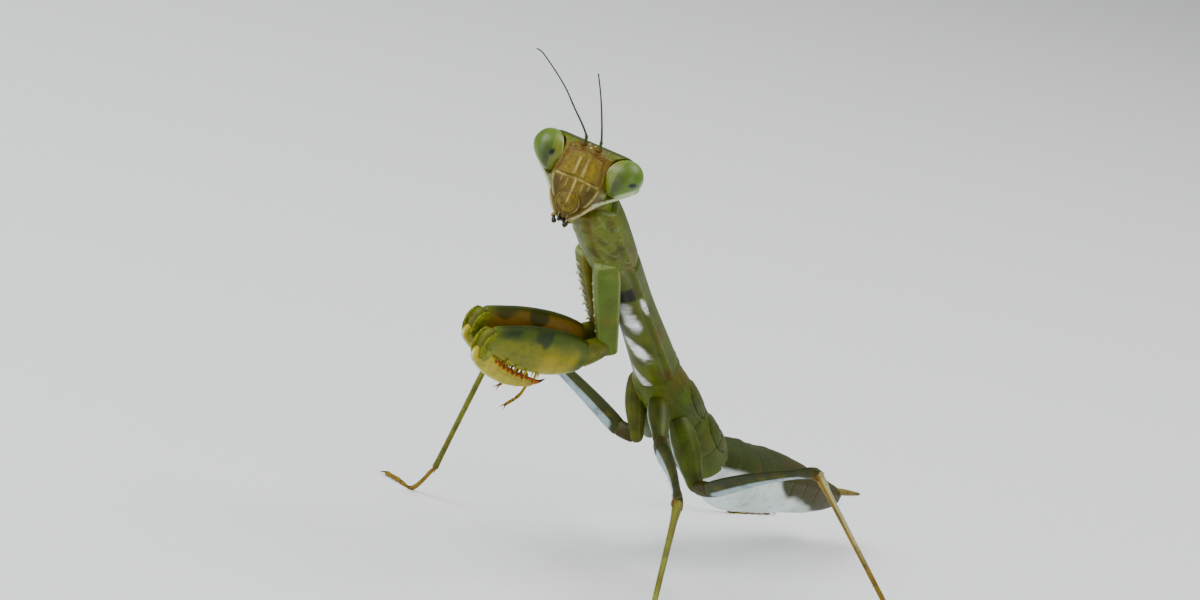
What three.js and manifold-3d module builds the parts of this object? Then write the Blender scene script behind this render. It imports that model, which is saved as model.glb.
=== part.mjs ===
// A praying mantis, a young wingless female of a small brown mantis, standing on a level floor.
// Millimetres. +Z is up, the body points along -Y, and the animal's own left side is on +X.
// She props her chest up on four spread legs, holds both folded fore legs out in front,
// and turns her head to her left.
import * as THREE from 'three';
import { mergeVertices } from 'three/addons/utils/BufferGeometryUtils.js';
import Module from 'manifold-3d';

const wasm = await Module();
wasm.setup();

// ---- driving dimensions ----
const GAP = 0.12;                 // clearance between neighbouring parts
const FEELER = 0.26;              // half thickness of the thinnest parts: feelers and feet

const WAIST = new THREE.Vector3(0, -0.2, 11.0);   // where the long prothorax meets the mid body
const PROTHORAX = { length: 13.3, yaw: 11.5, pitch: 43.5, roll: 19 };
const MIDBODY = { length: 7.0, yaw: 0, pitch: 43, roll: 13 };
const ABDOMEN = { length: 16.8, yaw: 9.5, pitch: 12, roll: -12 };
const MESOTHORAX_SHARE = 0.48;    // how much of the mid body the second thorax ring takes

const HEAD = { yaw: 31, pitch: 13, roll: 8 };
const HEAD_SEAT = [2.94, -0.36, -0.09];   // the middle of the face, from the neck's joint
const EYE = { out: 1.97, up: 0.24, back: 0.12, wide: 0.96, tall: 1.17, deep: 1.12, splay: 15 };

// Fore legs: their lengths, then where each hip and elbow sit from the neck's joint (ahead, left,
// up) and the way its thigh points, all in the prothorax's own axes
const FORE_LEG = { femur: 10.1, tibia: 5.5, tarsus: 1.6 };
const TIBIA_OPENING = 17;         // how far the fore tibia stands away from its femur, degrees
const FORE_STANCES = {
  fore_left: { hip: [-2.4, 0.8, -1.1], elbow: [-9.35, 0.2, -2.8], femur: [0.779, 0.063, -0.625] },
  fore_right: { hip: [-2.4, -0.8, -1.1], elbow: [-9.45, -0.92, -2.2], femur: [0.778, 0.016, -0.628] },
};

// Walking legs. Both sides share their lengths, hip piece, thigh, shin and foot, and how stout
// the leg and its hip piece are.
const LEG_SIZES = {
  mid: { coxa: 3.0, femur: 10.1, tibia: 9.5, tarsus: 4.3, thick: 0.92, hip: 0.75 },
  hind: { coxa: 3.6, femur: 11.5, tibia: 12.3, tarsus: 5.1, thick: 1, hip: 1 },
};
// Each leg's stance: where its hip sits on the mid body (ahead of the waist, left, up), then
// the azimuth (0 ahead, 90 to the animal's left) and elevation of its hip piece and thigh,
// the azimuth of its shin and of its foot, and the height of its ankle. A shin has no
// elevation of its own: it drops from its knee to its ankle.
const STANCES = {
  mid_left: {
    hip: [-0.9, 1.2, -1.25], coxa: [53, -30], femur: [49.5, -3], shin: 40, foot: 44, ankle: 1.25,
  },
  mid_right: {
    hip: [-0.9, -0.95, -1.25], coxa: [110, -78], femur: [-73, 24.5], shin: -60, foot: -98, ankle: 1.6,
  },
  hind_left: {
    hip: [-2.9, 1.55, -0.8], coxa: [110, -59], femur: [73, 24], shin: 176, foot: 140, ankle: 1.25,
  },
  hind_right: {
    hip: [-2.9, -1.55, -0.8], coxa: [-150, -40], femur: [-125, 24], shin: 149, foot: 172, ankle: 1.25,
  },
};

// ---- directions and frames ----
const rad = THREE.MathUtils.degToRad;
const lerp = THREE.MathUtils.lerp;

// A direction from its azimuth, 0 ahead and 90 to the animal's left, and its elevation
function heading(azimuth, elevation) {
  const level = Math.cos(rad(elevation));
  const across = Math.sin(rad(azimuth)) * level;
  const along = -Math.cos(rad(azimuth)) * level;
  return new THREE.Vector3(across, along, Math.sin(rad(elevation)));
}

// A part's own axes. A positive roll lowers its left side.
function bodyAxes({ yaw, pitch, roll }) {
  const forward = heading(yaw, pitch);
  const level = heading(yaw + 90, 0);
  const upright = forward.clone().cross(level);
  const left = level.clone().multiplyScalar(Math.cos(rad(roll)));
  left.addScaledVector(upright, -Math.sin(rad(roll)));
  return { forward, left, up: forward.clone().cross(left) };
}

function place(origin, axes, [ahead, aside, above]) {
  const point = origin.clone().addScaledVector(axes.forward, ahead);
  return point.addScaledVector(axes.left, aside).addScaledVector(axes.up, above);
}

// Values between a few stations along a part: each row is [place, value, value, ...]
function along(rows) {
  return (t) => {
    const next = Math.max(1, rows.findIndex((row) => row[0] >= t));
    const [before, after] = [rows[next - 1], rows[next]];
    const share = (t - before[0]) / (after[0] - before[0]);
    return before.slice(1).map((value, i) => lerp(value, after[i + 1], share));
  };
}

// ---- solids ----
// Welds a closed three.js shape into one skin, without its seams and its empty pole triangles
function welded(shape) {
  shape.deleteAttribute('normal');
  shape.deleteAttribute('uv');
  const geometry = mergeVertices(shape, 1e-4);
  const corners = Array.from(geometry.index.array);
  const faces = [];
  for (let i = 0; i < corners.length; i += 3) {
    const [a, b, c] = corners.slice(i, i + 3);
    if (a !== b && b !== c && c !== a) faces.push(a, b, c);
  }
  geometry.setIndex(faces);
  return geometry;
}

// A closed body along a curve. shape(t) gives its half width, its height above the curve
// and its depth below it. blunt is how much of each end is rounded off.
function sweep(curve, shape, { up, rings = 8, sides = 8, blunt = 0.1, grow = 0, floor = null }) {
  const outline = [new THREE.Vector2(0, 0)];
  for (let i = 1; i < rings; i += 1) {
    outline.push(new THREE.Vector2(1, (1 - Math.cos((Math.PI * i) / rings)) / 2));
  }
  outline.push(new THREE.Vector2(0, 1));
  const geometry = welded(new THREE.LatheGeometry(outline, sides));
  const position = geometry.attributes.position;
  for (let i = 0; i < position.count; i += 1) {
    const t = THREE.MathUtils.clamp(position.getY(i), 0, 1);
    const tangent = curve.getTangent(t);
    const side = up.clone().cross(tangent).normalize();
    const top = tangent.clone().cross(side);
    const [wide, above, below] = shape(t);
    const near = Math.min(1, Math.min(t, 1 - t) / blunt);
    const round = Math.sqrt(1 - (1 - near) ** 2);
    const onAxis = t === 0 || t === 1;
    const x = onAxis ? 0 : position.getX(i);
    const z = onAxis ? 0 : -position.getZ(i);
    const tall = z > 0 ? above : below;
    const point = curve.getPoint(t);
    point.addScaledVector(tangent, grow * (2 * t - 1));
    point.addScaledVector(side, x * (wide * round + grow));
    point.addScaledVector(top, z * (tall * round + grow));
    if (floor !== null) point.z = Math.max(point.z, floor);
    position.setXYZ(i, point.x, point.y, point.z);
  }
  return geometry;
}

function solid(geometry) {
  return new wasm.Manifold(new wasm.Mesh({
    numProp: 3,
    vertProperties: new Float32Array(geometry.attributes.position.array),
    triVerts: new Uint32Array(geometry.index.array),
  }));
}

function geometryOf(manifold) {
  const mesh = manifold.getMesh();
  const geometry = new THREE.BufferGeometry();
  geometry.setAttribute('position', new THREE.BufferAttribute(mesh.vertProperties, 3));
  geometry.setIndex(new THREE.BufferAttribute(mesh.triVerts, 1));
  return geometry;
}

function carve(geometry, ...cutters) {
  return geometryOf(cutters.reduce((body, cutter) => body.subtract(solid(cutter)), solid(geometry)));
}

function join(geometry, ...extras) {
  return geometryOf(extras.reduce((body, extra) => body.add(solid(extra)), solid(geometry)));
}

// A slim pointed cone from a foot point towards a tip
function spine(foot, tip, radius) {
  const cone = welded(new THREE.ConeGeometry(radius, foot.distanceTo(tip), 5));
  const turn = new THREE.Quaternion();
  turn.setFromUnitVectors(new THREE.Vector3(0, 1, 0), tip.clone().sub(foot).normalize());
  cone.applyQuaternion(turn);
  const middle = foot.clone().add(tip).multiplyScalar(0.5);
  return cone.translate(middle.x, middle.y, middle.z);
}

const mantis = new THREE.Group();

function part(name, geometry, color, roughness = 0.45) {
  const material = new THREE.MeshStandardMaterial({ color, roughness, metalness: 0 });
  const mesh = new THREE.Mesh(geometry, material);
  mesh.name = name;
  mantis.add(mesh);
}

const COLOURS = {
  olive: 0x6a6a2c, brown: 0x5c4420, face: 0x8f6a2c, eye: 0x6b8f3a, lip: 0x6b4a26,
  feeler: 0x2f3a1c, coxa: 0x6f7f45, foreFemur: 0x9c8f3c, foreTibia: 0xc2b85f,
  leg: 0x5e5a2c, shin: 0x8f7a3a, foot: 0x7a6a3a, belly: 0x9aa08a, joint: 0x7a3f1c,
};

// ---- trunk ----
const chest = bodyAxes(PROTHORAX);
const midBody = bodyAxes(MIDBODY);
const tail = bodyAxes(ABDOMEN);
const neckBase = place(WAIST, chest, [PROTHORAX.length, 0, 0]);
const rump = place(WAIST, midBody, [-MIDBODY.length, 0, 0]);

// The trunk's pieces run from front to back, so their left and right stay the animal's own
function straight(from, to) {
  return new THREE.LineCurve3(from, to);
}

// ---- walking legs ----
function legJoints(size, stance) {
  const hip = place(WAIST, midBody, stance.hip);
  const socket = hip.clone().addScaledVector(heading(...stance.coxa), size.coxa);
  const knee = socket.clone().addScaledVector(heading(...stance.femur), size.femur);
  const drop = THREE.MathUtils.radToDeg(Math.asin((knee.z - stance.ankle) / size.tibia));
  const ankle = knee.clone().addScaledVector(heading(stance.shin, -drop), size.tibia);
  const reach = heading(stance.foot, 0);
  const landing = ankle.clone().addScaledVector(reach, size.tarsus * 0.36).setZ(FEELER * 0.8);
  const toe = ankle.clone().addScaledVector(reach, size.tarsus).setZ(FEELER * 0.8);
  return { hip, socket, knee, ankle, landing, toe };
}

const UPRIGHT = new THREE.Vector3(0, 0, 1);
const hipCutters = { mid: [], hind: [] };

function makeWalkingLeg(name, stance) {
  const pair = name.split('_')[0];
  const { hip, socket, knee, ankle, landing, toe } = legJoints(LEG_SIZES[pair], stance);
  const { thick: k, hip: h } = LEG_SIZES[pair];
  const thighAxis = knee.clone().sub(socket).normalize();
  const ring = socket.clone().addScaledVector(thighAxis, 0.75 * k);
  const coxaShape = along([[0, 0.72 * h, 0.8 * h, 0.8 * h], [0.35, 0.82 * h, 0.86 * h, 0.86 * h],
    [1, 0.42, 0.42, 0.42]]);
  const coxaLine = straight(hip, socket);
  const coxa = (grow) => sweep(coxaLine, coxaShape, { up: midBody.forward, blunt: 0.16, grow });
  const trochanter = (grow) => sweep(straight(socket, ring), () => [0.4 * k, 0.42 * k, 0.42 * k],
    { up: UPRIGHT, rings: 5, blunt: 0.45, grow });
  const femurStart = ring.clone().addScaledVector(thighAxis, GAP);
  const femurShape = along([[0, 0.36 * k, 0.5 * k, 0.5 * k], [0.3, 0.38 * k, 0.52 * k, 0.5 * k],
    [0.8, 0.3 * k, 0.34 * k, 0.34 * k], [0.93, 0.34 * k, 0.42 * k, 0.42 * k],
    [1, 0.34 * k, 0.4 * k, 0.4 * k]]);
  const femur = sweep(straight(femurStart, knee), femurShape, { up: UPRIGHT, rings: 9, blunt: 0.03 });
  const tibia = (grow) => sweep(straight(knee, ankle), along([[0, 0.27, 0.3, 0.3], [0.12, 0.26, 0.27, 0.27],
    [1, 0.26, 0.27, 0.27]]), { up: heading(stance.femur[0], 0), rings: 8, blunt: 0.03, grow });
  const footLine = new THREE.CatmullRomCurve3([ankle, landing, toe]);
  const tarsus = (grow) => sweep(footLine, () => [FEELER, FEELER, FEELER],
    { up: UPRIGHT, rings: 7, blunt: 0.08, grow, floor: 0 });
  hipCutters[pair].push(coxa(GAP));
  const neighbours = pair === 'hind' ? hipCutters.mid : [];
  part(`${name}_coxa`, carve(coxa(0), trochanter(GAP), ...neighbours), COLOURS.olive);
  part(`${name}_trochanter`, trochanter(0), COLOURS.joint);
  part(`${name}_femur`, carve(femur, tibia(GAP)), COLOURS.leg, 0.35);
  part(`${name}_tibia`, carve(tibia(0), tarsus(GAP)), COLOURS.shin);
  part(`${name}_tarsus`, tarsus(0), COLOURS.foot);
}

Object.entries(STANCES).forEach(([name, stance]) => makeWalkingLeg(name, stance));

// ---- fore legs ----
const foreCutters = [];

function makeForeLeg(name, stance) {
  const hip = place(neckBase, chest, stance.hip);
  const socket = place(neckBase, chest, stance.elbow);
  const femurWay = place(new THREE.Vector3(), chest, stance.femur).normalize();
  const knee = socket.clone().addScaledVector(femurWay, FORE_LEG.femur);
  const flexor = chest.left.clone().cross(femurWay).normalize();   // towards the toothed underside
  const tibiaWay = femurWay.clone().multiplyScalar(-Math.cos(rad(TIBIA_OPENING)));
  tibiaWay.addScaledVector(flexor, Math.sin(rad(TIBIA_OPENING)));
  const claw = knee.clone().addScaledVector(flexor, 0.75).addScaledVector(tibiaWay, FORE_LEG.tibia);
  const elbow = knee.clone().addScaledVector(flexor, 0.42).addScaledVector(femurWay, 0.28);
  const bow = elbow.clone().lerp(claw, 0.5).addScaledVector(flexor, 0.28);
  const coxa = (grow) => sweep(straight(hip, socket), along([[0, 0.54, 0.68, 0.68], [0.25, 0.56, 0.84, 0.84],
    [0.8, 0.5, 0.68, 0.68], [1, 0.44, 0.55, 0.55]]), { up: chest.up, rings: 9, blunt: 0.08, grow });
  const trochanterEnd = socket.clone().addScaledVector(femurWay, 0.95);
  const trochanter = (grow) => sweep(straight(socket, trochanterEnd), () => [0.44, 0.66, 0.78],
    { up: chest.up, rings: 5, blunt: 0.45, grow });
  const femurStart = trochanterEnd.clone().addScaledVector(femurWay, GAP);
  const femurLine = straight(femurStart, knee);
  const femur = sweep(femurLine, along([[0, 0.36, 0.5, 0.75], [0.16, 0.5, 0.95, 1.4],
    [0.4, 0.56, 1.15, 1.6], [0.65, 0.53, 1.2, 1.35], [0.88, 0.46, 1.0, 0.75], [1, 0.46, 0.9, 0.45]]),
  { up: chest.up, rings: 12, sides: 10, blunt: 0.05 });
  const tibiaLine = new THREE.QuadraticBezierCurve3(elbow, bow, claw);
  const tibia = (grow) => sweep(tibiaLine, along([[0, 0.28, 0.42, 0.42], [0.3, 0.27, 0.45, 0.45],
    [0.86, 0.26, 0.36, 0.36], [1, 0.2, 0.24, 0.24]]), { up: flexor, rings: 9, blunt: 0.08, grow });
  const teeth = [];
  for (const flank of [1, -1]) {
    for (let i = 0; i < 4; i += 1) {
      const root = femurLine.getPoint(0.42 + i * 0.12);
      const foot = root.addScaledVector(chest.left, flank * 0.42).addScaledVector(flexor, 0.5);
      const tip = foot.clone().addScaledVector(flexor, 1.35 - 0.12 * i);
      tip.addScaledVector(chest.left, flank * 0.14).addScaledVector(femurWay, 0.15);
      teeth.push(spine(foot, tip, 0.2));
    }
  }
  const hookTip = claw.clone().addScaledVector(tibiaWay, 0.95).addScaledVector(flexor, -0.5);
  const hookFoot = claw.clone().addScaledVector(tibiaWay, -0.45);
  // The foot hangs from the tibia's end
  const outside = flexor.clone().multiplyScalar(Math.cos(rad(TIBIA_OPENING)));
  outside.addScaledVector(femurWay, Math.sin(rad(TIBIA_OPENING)));
  const ankle = claw.clone().addScaledVector(outside, 0.34).addScaledVector(tibiaWay, -0.15);
  const bend = claw.clone().addScaledVector(outside, 1.1).addScaledVector(tibiaWay, -0.35);
  const toe = claw.clone().addScaledVector(outside, FORE_LEG.tarsus).addScaledVector(tibiaWay, -0.8);
  const tarsusLine = new THREE.CatmullRomCurve3([ankle, bend, toe]);
  const tarsus = (grow) => sweep(tarsusLine, () => [FEELER, FEELER, FEELER],
    { up: chest.left, rings: 6, blunt: 0.1, grow });
  const hook = spine(hookFoot, hookTip, 0.25);
  foreCutters.push(coxa(GAP));
  part(`${name}_coxa`, carve(coxa(0), trochanter(GAP)), COLOURS.coxa);
  part(`${name}_trochanter`, trochanter(0), COLOURS.joint);
  part(`${name}_femur`, carve(join(femur, ...teeth), tibia(GAP)), COLOURS.foreFemur, 0.35);
  part(`${name}_tibia`, carve(join(tibia(0), hook), tarsus(GAP)), COLOURS.foreTibia, 0.4);
  part(`${name}_tarsus`, tarsus(0), COLOURS.foot);
}

Object.entries(FORE_STANCES).forEach(([name, stance]) => makeForeLeg(name, stance));

// ---- wing pads: short leathery flaps over the back of the mid body ----
const padCutters = [];

function makeWingPad(name, sign, start, length) {
  const root = place(WAIST, midBody, [start, sign * 1.05, 0.9]);
  const tip = place(WAIST, midBody, [start - length, sign * 1.1, 1.1]);
  const outward = midBody.up.clone().multiplyScalar(0.84).addScaledVector(midBody.left, sign * 0.54);
  const pad = (grow) => sweep(straight(root, tip), along([[0, 0.5, 0.25, 0.25], [0.5, 0.68, 0.25, 0.25],
    [1, 0.42, 0.25, 0.25]]), { up: outward, rings: 7, blunt: 0.22, grow });
  padCutters.push(pad(GAP));
  part(name, pad(0), COLOURS.brown);
}

makeWingPad('wing_pad_fore_left', 1, -1.3, 2.5);
makeWingPad('wing_pad_fore_right', -1, -1.3, 2.5);
makeWingPad('wing_pad_hind_left', 1, -4.1, 2.7);
makeWingPad('wing_pad_hind_right', -1, -4.1, 2.7);

// ---- trunk pieces ----
const nape = place(neckBase, chest, [-0.1, 0, 0]);
const prothorax = sweep(straight(nape, place(WAIST, chest, [GAP, 0, 0])), along([[0, 1.1, 0.75, 1.35],
  [0.12, 1.42, 0.92, 1.7], [0.26, 1.55, 1.0, 1.65], [0.42, 1.25, 1.0, 1.3], [0.6, 1.15, 1.0, 1.2],
  [0.85, 1.25, 1.2, 1.35], [1, 1.45, 1.3, 1.45]]), { up: chest.up, rings: 13, sides: 14, blunt: 0.02 });
part('prothorax', carve(prothorax, ...foreCutters), COLOURS.olive, 0.4);

const ringSeam = MIDBODY.length * MESOTHORAX_SHARE;
const mesoLine = straight(place(WAIST, midBody, [-GAP, 0, 0]), place(WAIST, midBody, [-ringSeam, 0, 0]));
const mesothorax = sweep(mesoLine, along([[0, 1.35, 1.2, 1.4], [0.3, 1.75, 1.4, 1.6], [1, 1.85, 1.45, 1.6]]),
  { up: midBody.up, rings: 8, sides: 14, blunt: 0.06 });
const bodyCutters = [...hipCutters.mid, ...hipCutters.hind, ...padCutters];
part('mesothorax', carve(mesothorax, ...bodyCutters), COLOURS.brown, 0.4);

const metaStart = place(WAIST, midBody, [-ringSeam - GAP, 0, 0]);
const metathorax = sweep(straight(metaStart, place(rump, midBody, [GAP, 0, 0])),
  along([[0, 1.85, 1.45, 1.6], [0.6, 1.9, 1.5, 1.6], [1, 1.8, 1.55, 1.5]]),
  { up: midBody.up, rings: 8, sides: 14, blunt: 0.06 });
part('metathorax', carve(metathorax, ...bodyCutters), COLOURS.brown, 0.4);

// The abdomen leaves the steep mid body and levels out above the floor in a soft curve
const abdomenWay = tail.forward.clone().negate();
const abdomenTip = rump.clone().addScaledVector(abdomenWay, ABDOMEN.length);
const abdomenBend = rump.clone().addScaledVector(midBody.forward, -2.2);
const abdomenMid = rump.clone().lerp(abdomenTip, 0.55).addScaledVector(tail.up, -0.35);
const abdomenLine = new THREE.CatmullRomCurve3([rump, abdomenBend, abdomenMid, abdomenTip]);
const abdomen = sweep(abdomenLine, along([[0, 1.7, 1.9, 1.35], [0.12, 2.0, 2.9, 1.1], [0.35, 2.25, 2.8, 1.35],
  [0.6, 2.2, 2.0, 1.7], [0.8, 1.7, 1.15, 1.5], [0.93, 1.0, 0.65, 0.95], [1, 0.6, 0.4, 0.5]]),
{ up: tail.up, rings: 16, sides: 14, blunt: 0.03 });

// Two short feelers at the tail's end
function cercus(sign, grow) {
  const root = place(abdomenTip, tail, [0.7, sign * 0.55, 0.15]);
  const tip = place(abdomenTip, tail, [-0.9, sign * 1.05, 0.3]);
  return sweep(straight(root, tip), () => [FEELER, FEELER, FEELER],
    { up: tail.up, rings: 6, blunt: 0.3, grow });
}

part('abdomen', carve(abdomen, cercus(1, GAP), cercus(-1, GAP), ...hipCutters.hind, ...padCutters),
  COLOURS.belly, 0.4);
part('cercus_left', cercus(1, 0), COLOURS.brown);
part('cercus_right', cercus(-1, 0), COLOURS.brown);

// ---- head ----
const face = bodyAxes(HEAD);
const headCentre = place(neckBase, chest, HEAD_SEAT);
const onHead = (aside, above, ahead) => place(headCentre, face, [ahead, aside, above]);
const HEAD_SIDES = 16;

// The head capsule, a rounded triangle seen from the front, widest at the lower rims of the eyes
const skullLine = straight(onHead(0, 1.26, -0.35), onHead(0, -2.0, 0.05));
const skullShape = along([[0, 1.7, 0.65, 0.6], [0.1, 1.8, 0.85, 0.85], [0.3, 1.7, 1.05, 1.0],
  [0.5, 1.9, 1.0, 0.95], [0.66, 2.02, 0.95, 0.8], [0.85, 1.66, 0.72, 0.65], [1, 1.28, 0.5, 0.5]]);
const skull = (grow) => sweep(skullLine, skullShape,
  { up: face.forward, rings: 14, sides: HEAD_SIDES, blunt: 0.05, grow });

function eyeball(sign, grow) {
  const eye = welded(new THREE.SphereGeometry(1, 16, 12));
  eye.scale(EYE.wide + grow, EYE.deep + grow, EYE.tall + grow);
  eye.rotateY(sign * rad(EYE.splay));
  const frame = new THREE.Matrix4().makeBasis(face.left, face.forward.clone().negate(), face.up);
  frame.setPosition(onHead(sign * EYE.out, EYE.up, -EYE.back));
  return eye.applyMatrix4(frame);
}

const lipTop = onHead(0, -1.45, 0.78);
const lipEnd = onHead(0, -2.55, 0.62);
const lip = (grow) => sweep(straight(lipTop, lipEnd), along([[0, 0.45, 0.2, 0.2], [0.5, 0.55, 0.22, 0.2],
  [1, 0.4, 0.18, 0.18]]), { up: face.forward, rings: 8, sides: 10, blunt: 0.3, grow });
const jawLine = straight(onHead(0, -2.02 - GAP, 0.05), onHead(0, -3.0, 0.2));
const jaws = sweep(jawLine, along([[0, 1.22, 0.42, 0.48], [0.5, 0.86, 0.32, 0.45], [1, 0.42, 0.22, 0.3]]),
  { up: face.forward, rings: 8, sides: 10, blunt: 0.08 });

part('head', carve(skull(0), eyeball(1, GAP), eyeball(-1, GAP), lip(GAP)), COLOURS.face, 0.4);
part('eye_left', eyeball(1, 0), COLOURS.eye, 0.15);
part('eye_right', eyeball(-1, 0), COLOURS.eye, 0.15);
part('labrum', lip(0), COLOURS.lip, 0.4);
part('jaws', carve(jaws, lip(GAP)), COLOURS.face, 0.4);

// Each feeler rises from its socket beside the middle of the brow
const feelerLines = {
  antenna_left: [onHead(0.55, 1.0, 0.75), onHead(0.42, 1.5, 1.05), onHead(0.1, 3.0, 2.8),
    onHead(-0.45, 4.6, 4.9)],
  antenna_right: [onHead(-0.55, 1.0, 0.75), onHead(-0.42, 1.5, 1.0), onHead(-1.9, 2.95, 1.95),
    onHead(-3.35, 4.3, 2.85), onHead(-4.5, 4.45, 3.3)],
};
Object.entries(feelerLines).forEach(([name, points]) => {
  const line = new THREE.CatmullRomCurve3(points);
  const feeler = sweep(line, () => [FEELER, FEELER, FEELER],
    { up: face.left, rings: 11, sides: 6, blunt: 0.05 });
  part(name, feeler, COLOURS.feeler);
});

const neckStart = place(neckBase, chest, [GAP, 0, 0]);
const neck = sweep(straight(neckStart, onHead(0, 0.1, -0.6)), () => [0.75, 0.7, 0.7],
  { up: chest.up, rings: 6, sides: 12, blunt: 0.08 });
part('neck', carve(neck, skull(GAP)), COLOURS.olive);

// The origin: on the floor, below the middle of the model's outline
const outline = new THREE.Box3().setFromObject(mantis);
const middle = outline.getCenter(new THREE.Vector3());
mantis.position.set(-middle.x, -middle.y, -outline.min.z);

export default mantis;
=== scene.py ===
import functools
import math
import random

import bmesh
import bpy
import numpy as np
from mathutils import Matrix, Vector, noise


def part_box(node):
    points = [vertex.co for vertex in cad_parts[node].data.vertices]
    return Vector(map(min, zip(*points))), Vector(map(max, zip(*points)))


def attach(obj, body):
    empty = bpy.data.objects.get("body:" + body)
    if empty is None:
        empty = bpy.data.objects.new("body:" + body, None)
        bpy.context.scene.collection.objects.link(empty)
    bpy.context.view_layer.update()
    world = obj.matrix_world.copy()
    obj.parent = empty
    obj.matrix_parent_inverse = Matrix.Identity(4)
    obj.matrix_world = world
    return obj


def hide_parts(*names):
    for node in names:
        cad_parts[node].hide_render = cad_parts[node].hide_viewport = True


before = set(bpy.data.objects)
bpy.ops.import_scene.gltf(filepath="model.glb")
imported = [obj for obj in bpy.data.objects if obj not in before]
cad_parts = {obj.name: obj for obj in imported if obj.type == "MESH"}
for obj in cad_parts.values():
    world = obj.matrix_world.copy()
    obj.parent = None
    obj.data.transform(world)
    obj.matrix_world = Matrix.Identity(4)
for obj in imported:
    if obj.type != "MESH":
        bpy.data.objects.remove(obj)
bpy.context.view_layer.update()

# ---- Mid body ----
# The two short rings that carry the walking legs and the wing pads. Horny plates on the back and
# sides are parted by grooves, and the sides swell out where each hip piece is set in.
MM = 0.001


def middle(node):
    low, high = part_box(node)
    return (low + high) / 2


def axes(ahead, leftish):
    """A part's own axes: forward, left and up."""
    forward = ahead.normalized()
    left = (leftish - forward * leftish.dot(forward)).normalized()
    return forward, left, forward.cross(left)


def between(rows, t):
    """Values at t, on smooth curves through the rows of a small table."""
    last = len(rows) - 1
    k = next((i for i in range(1, last) if t < rows[i][0]), last)
    a, b = rows[k - 1], rows[k]
    before = rows[k - 2] if k > 1 else a
    after = rows[k + 1] if k < last else b
    step = b[0] - a[0]
    s = (t - a[0]) / step
    values = []
    for i in range(1, len(a)):
        start = (b[i] - before[i]) / (b[0] - before[0]) * step
        end = (after[i] - a[i]) / (after[0] - a[0]) * step
        rise = (2 * s**3 - 3 * s**2 + 1) * a[i] + (s**3 - 2 * s**2 + s) * start
        values.append(rise + (3 * s**2 - 2 * s**3) * b[i] + (s**3 - s**2) * end)
    return values


DEPTH, STRENGTH = 0.73, 1.28
OLIVE, GREENER = 0.95, 0.95


@functools.cache
def ink(code):
    """A pigment from its usual six-figure code, laid on a little deeper and stronger. Olive ones,
    with about as much green as red, lose a little red."""
    parts = [int(code[i:i + 2], 16) / 255 for i in (0, 2, 4)]
    if parts[1] > parts[0] * OLIVE:
        parts[0] *= GREENER
    light = [p / 12.92 if p < 0.04045 else ((p + 0.055) / 1.055) ** 2.4 for p in parts]
    grey = 0.21 * light[0] + 0.72 * light[1] + 0.07 * light[2]
    return Vector([max(0, DEPTH * (grey + STRENGTH * (p - grey))) for p in light])


def laid(base, *coats):
    """A base colour under thin coats: each coat is a colour or its code, and how far it covers."""
    colour = ink(base) if isinstance(base, str) else base
    for tone, cover in coats:
        colour = colour.lerp(ink(tone) if isinstance(tone, str) else tone, cover)
    return colour


def ease(low, high, value):
    """0 up to low, 1 from high on, and a smooth rise between them."""
    s = min(1, max(0, (value - low) / (high - low)))
    return s * s * (3 - 2 * s)


def bump(value, centre, half):
    """1 at the centre, fading to nothing at about twice the half width."""
    return math.exp(-((value - centre) / half) ** 2)


def cloud(place, size):
    """Soft blotches of a given size in mm, from about -1 to 1."""
    return noise.noise(place / (MM * size))


def new_mesh():
    mesh = bmesh.new()
    mesh.verts.layers.float_color.new("paint")
    return mesh


def tube(mesh, point, tint, steps, sides):
    """A closed skin round an axis: point(t, turn) gives each corner's place, tint its colour."""
    paint = mesh.verts.layers.float_color["paint"]
    corners = bmesh.ops.create_grid(mesh, x_segments=steps, y_segments=sides, size=1)["verts"]
    for corner in corners:
        t = (corner.co.x + 1) / 2
        turn = math.pi * corner.co.y
        corner.co = point(t, turn)
        corner[paint] = (*tint(t, turn, corner.co), 1)
    bmesh.ops.remove_doubles(mesh, verts=corners, dist=1e-8)


def rounded(t, blunt):
    """How far a rounded end has opened out at t."""
    near = min(1, min(t, 1 - t) / blunt)
    return math.sqrt(max(0, 1 - (1 - near) ** 2))


def finish(mesh, name, material, slot, *nodes):
    """Turns a mesh into a finished piece that rides on the frame and stands for its CAD nodes."""
    bmesh.ops.recalc_face_normals(mesh, faces=mesh.faces[:])
    data = bpy.data.meshes.new(name)
    mesh.to_mesh(data)
    mesh.free()
    data.polygons.foreach_set("use_smooth", [True] * len(data.polygons))
    data.materials.append(material)
    piece = bpy.data.objects.new(name, data)
    bpy.context.scene.collection.objects.link(piece)
    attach(piece, "root")
    if nodes:
        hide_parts(*nodes)


def one_skin(name, point, tint, steps, sides, material, slot, *nodes):
    """A finished piece that is one closed skin."""
    mesh = new_mesh()
    tube(mesh, point, tint, steps, sides)
    finish(mesh, name, material, slot, *nodes)


def set_inputs(node, values):
    for name, value in values.items():
        node.inputs[name].default_value = value
    return node


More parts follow.
